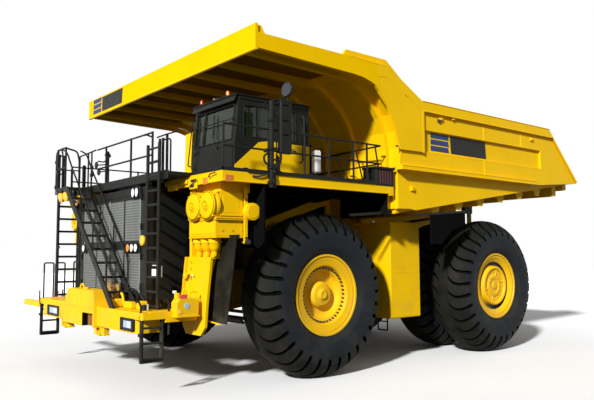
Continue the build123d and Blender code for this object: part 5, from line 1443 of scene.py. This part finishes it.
def side_seams(s):
    """Weld seams, laps, rail lips and lugs of the body's left side."""
    x, weld, edge, rail = SIDE_X, SIDE_X + .002, SIDE_X - .01, RAIL_X
    # Front plate of the side, flush with the rails, and the seam where the canopy's cheek meets it.
    s.prism([(1.86, 5.30), (1.70, 5.75), (1.56, 6.07), (1.43, 6.32), (1.16, 6.59), (1.12, 6.68), (1.60, 6.70),
             (2.00, 6.64), (2.72, 6.52), (2.73, 5.31)], "x", edge, x + .066)
    s.prism([(.98, 6.76), (1.10, 7.05), (1.38, 7.18), (2.10, 6.80), (2.05, 6.60), (1.60, 6.68), (1.14, 6.62)],
            "x", edge, x + .067)
    s.tube([(x + .066, 1.45, 7.20), (x + .066, 2.10, 6.86), (x + .066, 2.71, 6.52)], .008, 5)
    s.use("iron").tube([(x + .064, .20, 7.27), (x + .064, 1.38, 7.235)], .008, 5)
    s.box((x + .06, x + .075), (1.68, 1.78), (5.34, 5.38), .004)
    s.box((x, x + .06), (3.34, 3.44), (6.16, 6.23), .01)
    s.use("yellow_plain")
    # Welds of the sheet, edge roll of the recess, rail lips and the cap along the top rail.
    for face, radius, start, end in (
            (weld, .012, (5.35, 5.33), (5.35, 4.93)), (weld, .012, (5.35, 5.90), (5.35, 6.35)),
            (weld, .010, (7.2, 5.90), (7.2, 6.35)),
            (edge, .016, (2.76, 5.90), (8.27, 5.90)), (edge, .016, (2.76, 5.33), (8.27, 5.33)),
            (edge, .016, (8.27, 5.33), (8.27, 5.90)),
            (rail, .014, (2.70, 6.60), (8.70, 6.60)), (rail, .012, (2.76, 6.35), (8.9, 6.35)),
            (rail, .010, (1.92, 4.925), (7.9, 4.925)), (rail, .010, (1.92, 4.83), (7.9, 4.83))):
        s.tube([(face, *start), (face, *end)], radius, 6)
    # Lifting eyes and lugs.
    for y, z in ((3.48, 6.24), (3.99, 6.31), (7.76, 6.18)):
        s.box((x, x + .05), (y - .07, y + .07), (z - .035, z + .035), .012)
        s.tube([(x + .05, y - .03, z - .02), (x + .068, y - .03, z), (x + .068, y + .03, z),
                (x + .05, y + .03, z - .02)], .009, 6, .01)
    s.box((4.15, 4.19), (2.42, 2.56), (4.33, 4.45), .012)
    s.lathe([(0, .05), (.02, .05), (.02, .02)], (4.19, 2.49, 4.39), "x", 16)
    s.box((4.15, 4.18), (2.0, 8.0), (4.76, 4.83), .008)
    # Wear strip of the tail's edge.
    s.beam((4.33, 8.78, 6.52), (4.33, 10.34, 5.05), .06, .05, (1, 0, 0), .012)


def canopy_seams(s):
    """Rolled lower lip of the canopy's front, its top fold, the seams of its plate, and strips of painted
    shade between its ribs.
    """
    y = CANOPY_FACE
    s.tube([(-4.36, y + .02, 6.925), (4.36, y + .02, 6.925)], .034, 10)
    s.tube([(-4.36, y + .03, 7.44), (4.36, y + .03, 7.44)], .018, 8)
    for x in range(-4, 5):
        s.tube([(x, y + .08, 7.167), (x, .33, 7.167)], .008, 5)
    reach, margin = 3.85, .39
    ribs = [reach * (2 * i / 7 - 1) for i in range(8)]
    # Strips of painted shade between the canopy's ribs.
    s.use("yellow_shaded")
    for a, b in zip([-reach - margin] + ribs, ribs + [reach + margin]):
        s.box((a + .08, b - .08), (y + .10, .30), (7.068, 7.084), .002)
    s.use("yellow_plain")
    for x in (-4.34, 4.30):
        s.box((x, x + .04), (y - .006, y), (6.94, 7.44), .008)


def body_trim():
    s = Shape("yellow_plain")
    side_seams(s)
    s.mirror()
    canopy_seams(s)
    s.box((-4.2, 4.2), (9.9, 10.1), (5.155, 5.19), .01)
    s.build("body_seams", "dump_body", slot="body_yellow")


def body_liner():
    """Worn liner inside the body."""
    s = Shape("body_inside")
    front, tail = 2.05, 10.19
    low, high = FLOOR_THICKNESS + .004, FLOOR_THICKNESS + .022
    s.prism([(front, under(front) + low), (tail, under(tail) + low), (tail, under(tail) + high),
             (front, under(front) + high)], "x", -4.02, 4.02)
    for side in BOTH:
        s.prism([(2.9, 4.9), (8.0, 4.9), (10.2, 5.12), (8.66, 6.55), (2.75, 6.55), (2.02, 6.3), (2.02, 4.9)],
                "x", side * 4.166, side * 4.178)
    for y in (3.2 + k for k in range(7)):
        z = under(y) + FLOOR_THICKNESS
        s.box((-3.98, 3.98), (y - .05, y + .05), (z + .018, z + .034), .006)
    s.build("body_liner", "dump_body")


def body_under():
    """Gussets, rock ejector bars and rubber pads below the body, drawn on the left and mirrored."""
    s = Shape("yellow_plain")
    for y in (3.43 + k * .985 for k in range(6)):
        back = y + .985
        s.prism([(y + .22, under(y) - .17), (back, under(back) - .17), (back, under(back) + .01),
                 (y + .22, under(y) + .01)], "x", 2.0, 2.06)
        s.prism([(y - .1, under(y) + .005), (y + .32, under(y) + .02), (y + .22, under(y) - .18),
                 (y, under(y) - .18)], "x", 3.96, 4.02)
    # Rock ejector bars that hang between the twin tyres.
    x = (REAR_IN_X + REAR_OUT_X) / 2
    s.use("frame_yellow").box((x - .035, x + .035), (6.77, 6.93), (3.1, under(6.85) + .02), .012)
    s.use("black_plain").box((x - .07, x + .07), (6.55, 6.94), (4.0, 4.26), .015)
    s.use("rubber")
    for y in (2.7, 3.6, 4.5, 5.4):
        s.box((.66, .96), (y, y + .4), (3.302, 3.32), .004)
    s.mirror()
    s.build("body_underside", "dump_body", slot="body_yellow")


for make in (body_marks, body_trim, body_liner, body_under):
    make()


# ---- tanks, frame, axle and engine ----

STRUT_X = 2.0                            # the front struts' x
BACKWARD = (0, 1, 0)


def tank_trim():
    s = Shape("yellow_plain")
    for name, side in (("fuel_tank", 1), ("hydraulic_tank", -1)):
        low, high = axle_box(name)
        x, front, top = (low.x + high.x) / 2, low.y, high.z
        outer = high.x if side > 0 else low.x
        s.use("yellow_plain")
        for z in (low.z + .04, top - .05):
            s.tube([(low.x + .02, front - .001, z), (high.x - .02, front - .001, z)], .010, 6)
        for z in (2.30, 2.44):
            s.box((outer, outer + side * .006), (front + .05, high.y - .05), (z, z + .012), .002)
        s.use("steel").lathe([(0, .06), (.05, .06), (.06, .05), (.06, 0)], (x, front + .3, top), "z", 20)
        s.use("black_plain")
        s.lathe([(0, .10), (.03, .10), (.04, .08), (.04, 0)], (x + side * .4, front + .6, top), "z", 24)
    # Step below the fuel tank's front corner.
    y = axle_box("fuel_tank")[0].y + .03
    s.tube([(2.84, y, 1.34), (2.84, y, .83), (3.17, y, .83), (3.17, y, 1.34)], .020, 8, .03)
    s.tube([(2.84, y, 1.05), (3.17, y, 1.05)], .016, 8)
    s.build("tank_trim", slot="body_yellow")


def frame_trim():
    """Bolts, lines and hoses of the frame and the front struts' caps, drawn on the left and mirrored."""
    s = Shape("iron")
    for y in (3.0, 4.0, 5.0, 6.0, 7.0):
        s.bolts((1.0, y, 3.15), (1.0, y + .4, 3.15), 3, (1, 0, 0))
    s.bolts((1.0, -3.2, 1.6), (1.0, -1.6, 1.65), 6, (1, 0, 0))
    s.use("yellow_plain").tube([(1.0, 2.1, 3.22), (1.0, 7.9, 3.22)], .014, 6)
    # Brake and grease lines along the rails.
    s.use("hose")
    for z, radius in ((2.95, .020), (2.89, .016), (2.83, .016)):
        s.tube([(1.03, 2.3, z - .25), (1.03, 3.2, z - .05), (1.03, 5.2, z), (1.03, 6.6, z)], radius, 6, .2)
    s.tube([(1.45, -.1, 2.3), (1.75, -.35, 2.45), (1.75, -.42, 3.1), (1.5, -.38, 3.55)], .022, 8, .15)
    s.tube([(1.55, .42, 2.2), (1.8, .50, 2.5), (1.6, .46, 3.2), (1.25, .40, 3.7)], .02, 8, .2)
    # Caps over the front struts and rings around them.
    s.use("iron").lathe([(-.04, .26), (.02, .27), (.04, .25), (.04, .20)], (STRUT_X, 0, 2.86), "z", 32)
    s.lathe([(0, .25), (.05, .262), (.10, .25)], (STRUT_X, 0, 2.40), "z", 32)
    s.use("yellow_plain").lathe([(0, .24), (.05, .24), (.08, .18), (.08, 0)], (STRUT_X, 0, 3.50), "z", 32)
    s.mirror()
    s.use("iron")
    for side in BOTH:
        s.bolt_circle((side * STRUT_X, 0, 3.50), "z", .21, 12, .024, .03)
    s.build("frame_trim", slot="dark_steel")


def engine_trim():
    """The engine, plain in the CAD, gets its covers, pipes, pulley and fan."""
    s = Shape("iron")
    for y in (-2.05 + k * .42 for k in range(8)):
        s.box((.60, .66), (y, y + .34), (2.9, 3.25), .03)
        s.tube([(.66, y + .17, 3.05), (.72, y + .17, 3.05)], .06, 10)
    s.use("steel").tube([(.74, -2.1, 3.42), (.74, 1.2, 3.42)], .10, 14)
    s.use("hose").tube([(.62, -2.1, 2.4), (.74, -1.0, 2.3), (.72, .8, 2.35)], .03, 8, .3)
    s.mirror()
    s.use("iron")
    s.lathe([(0, .42), (-.05, .42), (-.06, .30), (-.12, .28), (-.12, 0)], (0, -2.30, 2.6), "y", 36)
    for direction in circle(7):
        root = off_axis((0, -2.46, 2.9), "y", 0, .12, direction)
        tip = off_axis((0, -2.44, 2.9), "y", 0, .75, direction)
        s.beam(root, tip, .16, .02, BACKWARD)
    s.build("engine_trim", slot="dark_steel")


def axle_trim():
    """Rings, collars and hoses of the rear axle and its struts, and the axle box's bolted hatch."""
    s = Shape("iron")
    y = REAR_Y
    for x in (.72, 1.05):
        s.lathe([(-.03, .605), (-.03, .63), (.03, .63), (.03, .605)], (x, y, HUB_Z), "x", 48)
    s.lathe([(0, .52), (0, .62), (.08, .62), (.08, .52)], (1.16, y, HUB_Z), "x", 48)
    s.lathe([(0, .17), (.05, .18), (.08, .17)], (.45, y + .68, 2.50), "z", 24)
    s.lathe([(0, .112), (.03, .125), (.06, .112)], (.45, y + .68, 2.20), "z", 24)
    s.use("hose").tube([(1.06, 4.05, 2.1), (1.12, 3.75, 2.4), (1.12, 3.6, 2.9)], .02, 8, .15)
    s.mirror()
    hatch = [(0, .52), (.04, .52), (.06, .47), (.10, .46), (.12, .20), (.12, 0)]
    s.use("iron").lathe(hatch, (0, y + .59, HUB_Z), "y", 40)
    s.bolt_circle((0, y + .63, HUB_Z), "y", .49, 20, .022, .02)
    s.build("axle_trim", slot="dark_steel")


def rear_guards():
    """Flat guard boards behind the tanks, above the rear wheels, in a near-black that is painted shade."""
    # The boards' near-black is painted shade.
    s = Shape("void")
    s.prism([(3.215, 3.02), (3.215, 3.77), (4.66, 3.88), (4.66, 3.56), (4.09, 3.40), (3.62, 3.02)],
            "x", 4.10, 4.13)
    s.use("black").beam((4.12, 2.62, 3.74), (4.12, 4.66, 3.91), .05, .06, UP, .01)
    s.use("black_plain").tube([(4.10, 3.42, 3.70), (1.0, 3.42, 3.45)], .035, 10)
    s.mirror()
    s.build("rear_guards", slot="black_paint")


def rear_lamps():
    """The bar across the frame's tail with its lamps and a blank white plate."""
    s = Shape("yellow_plain")
    s.box((.70, .92), (8.12, 8.20), (2.30, 2.9), .015)
    for x, lens in ((.62, "red_lens"), (.98, "amber"), (1.34, "lamp_glass")):
        round_lamp(s, (x, 8.285, 2.46), BACKWARD, .085, lens)
    s.mirror()
    s.use("yellow_plain").box((-1.15, 1.15), (8.15, 8.22), (2.72, 2.92), .015)
    s.box((-1.7, 1.7), (8.20, 8.27), (2.30, 2.62), .02)
    s.bolts((-.5, 8.27, 2.56), (.5, 8.27, 2.56), 5, BACKWARD, .016, .012)
    s.use("white_paint").box((-.22, .22), (8.27, 8.276), (2.36, 2.52), .003)
    s.build("rear_lamps", slot="body_yellow")


for make in (tank_trim, frame_trim, engine_trim, axle_trim, rear_guards, rear_lamps):
    make()




bpy.context.scene.view_settings.view_transform = "Standard"
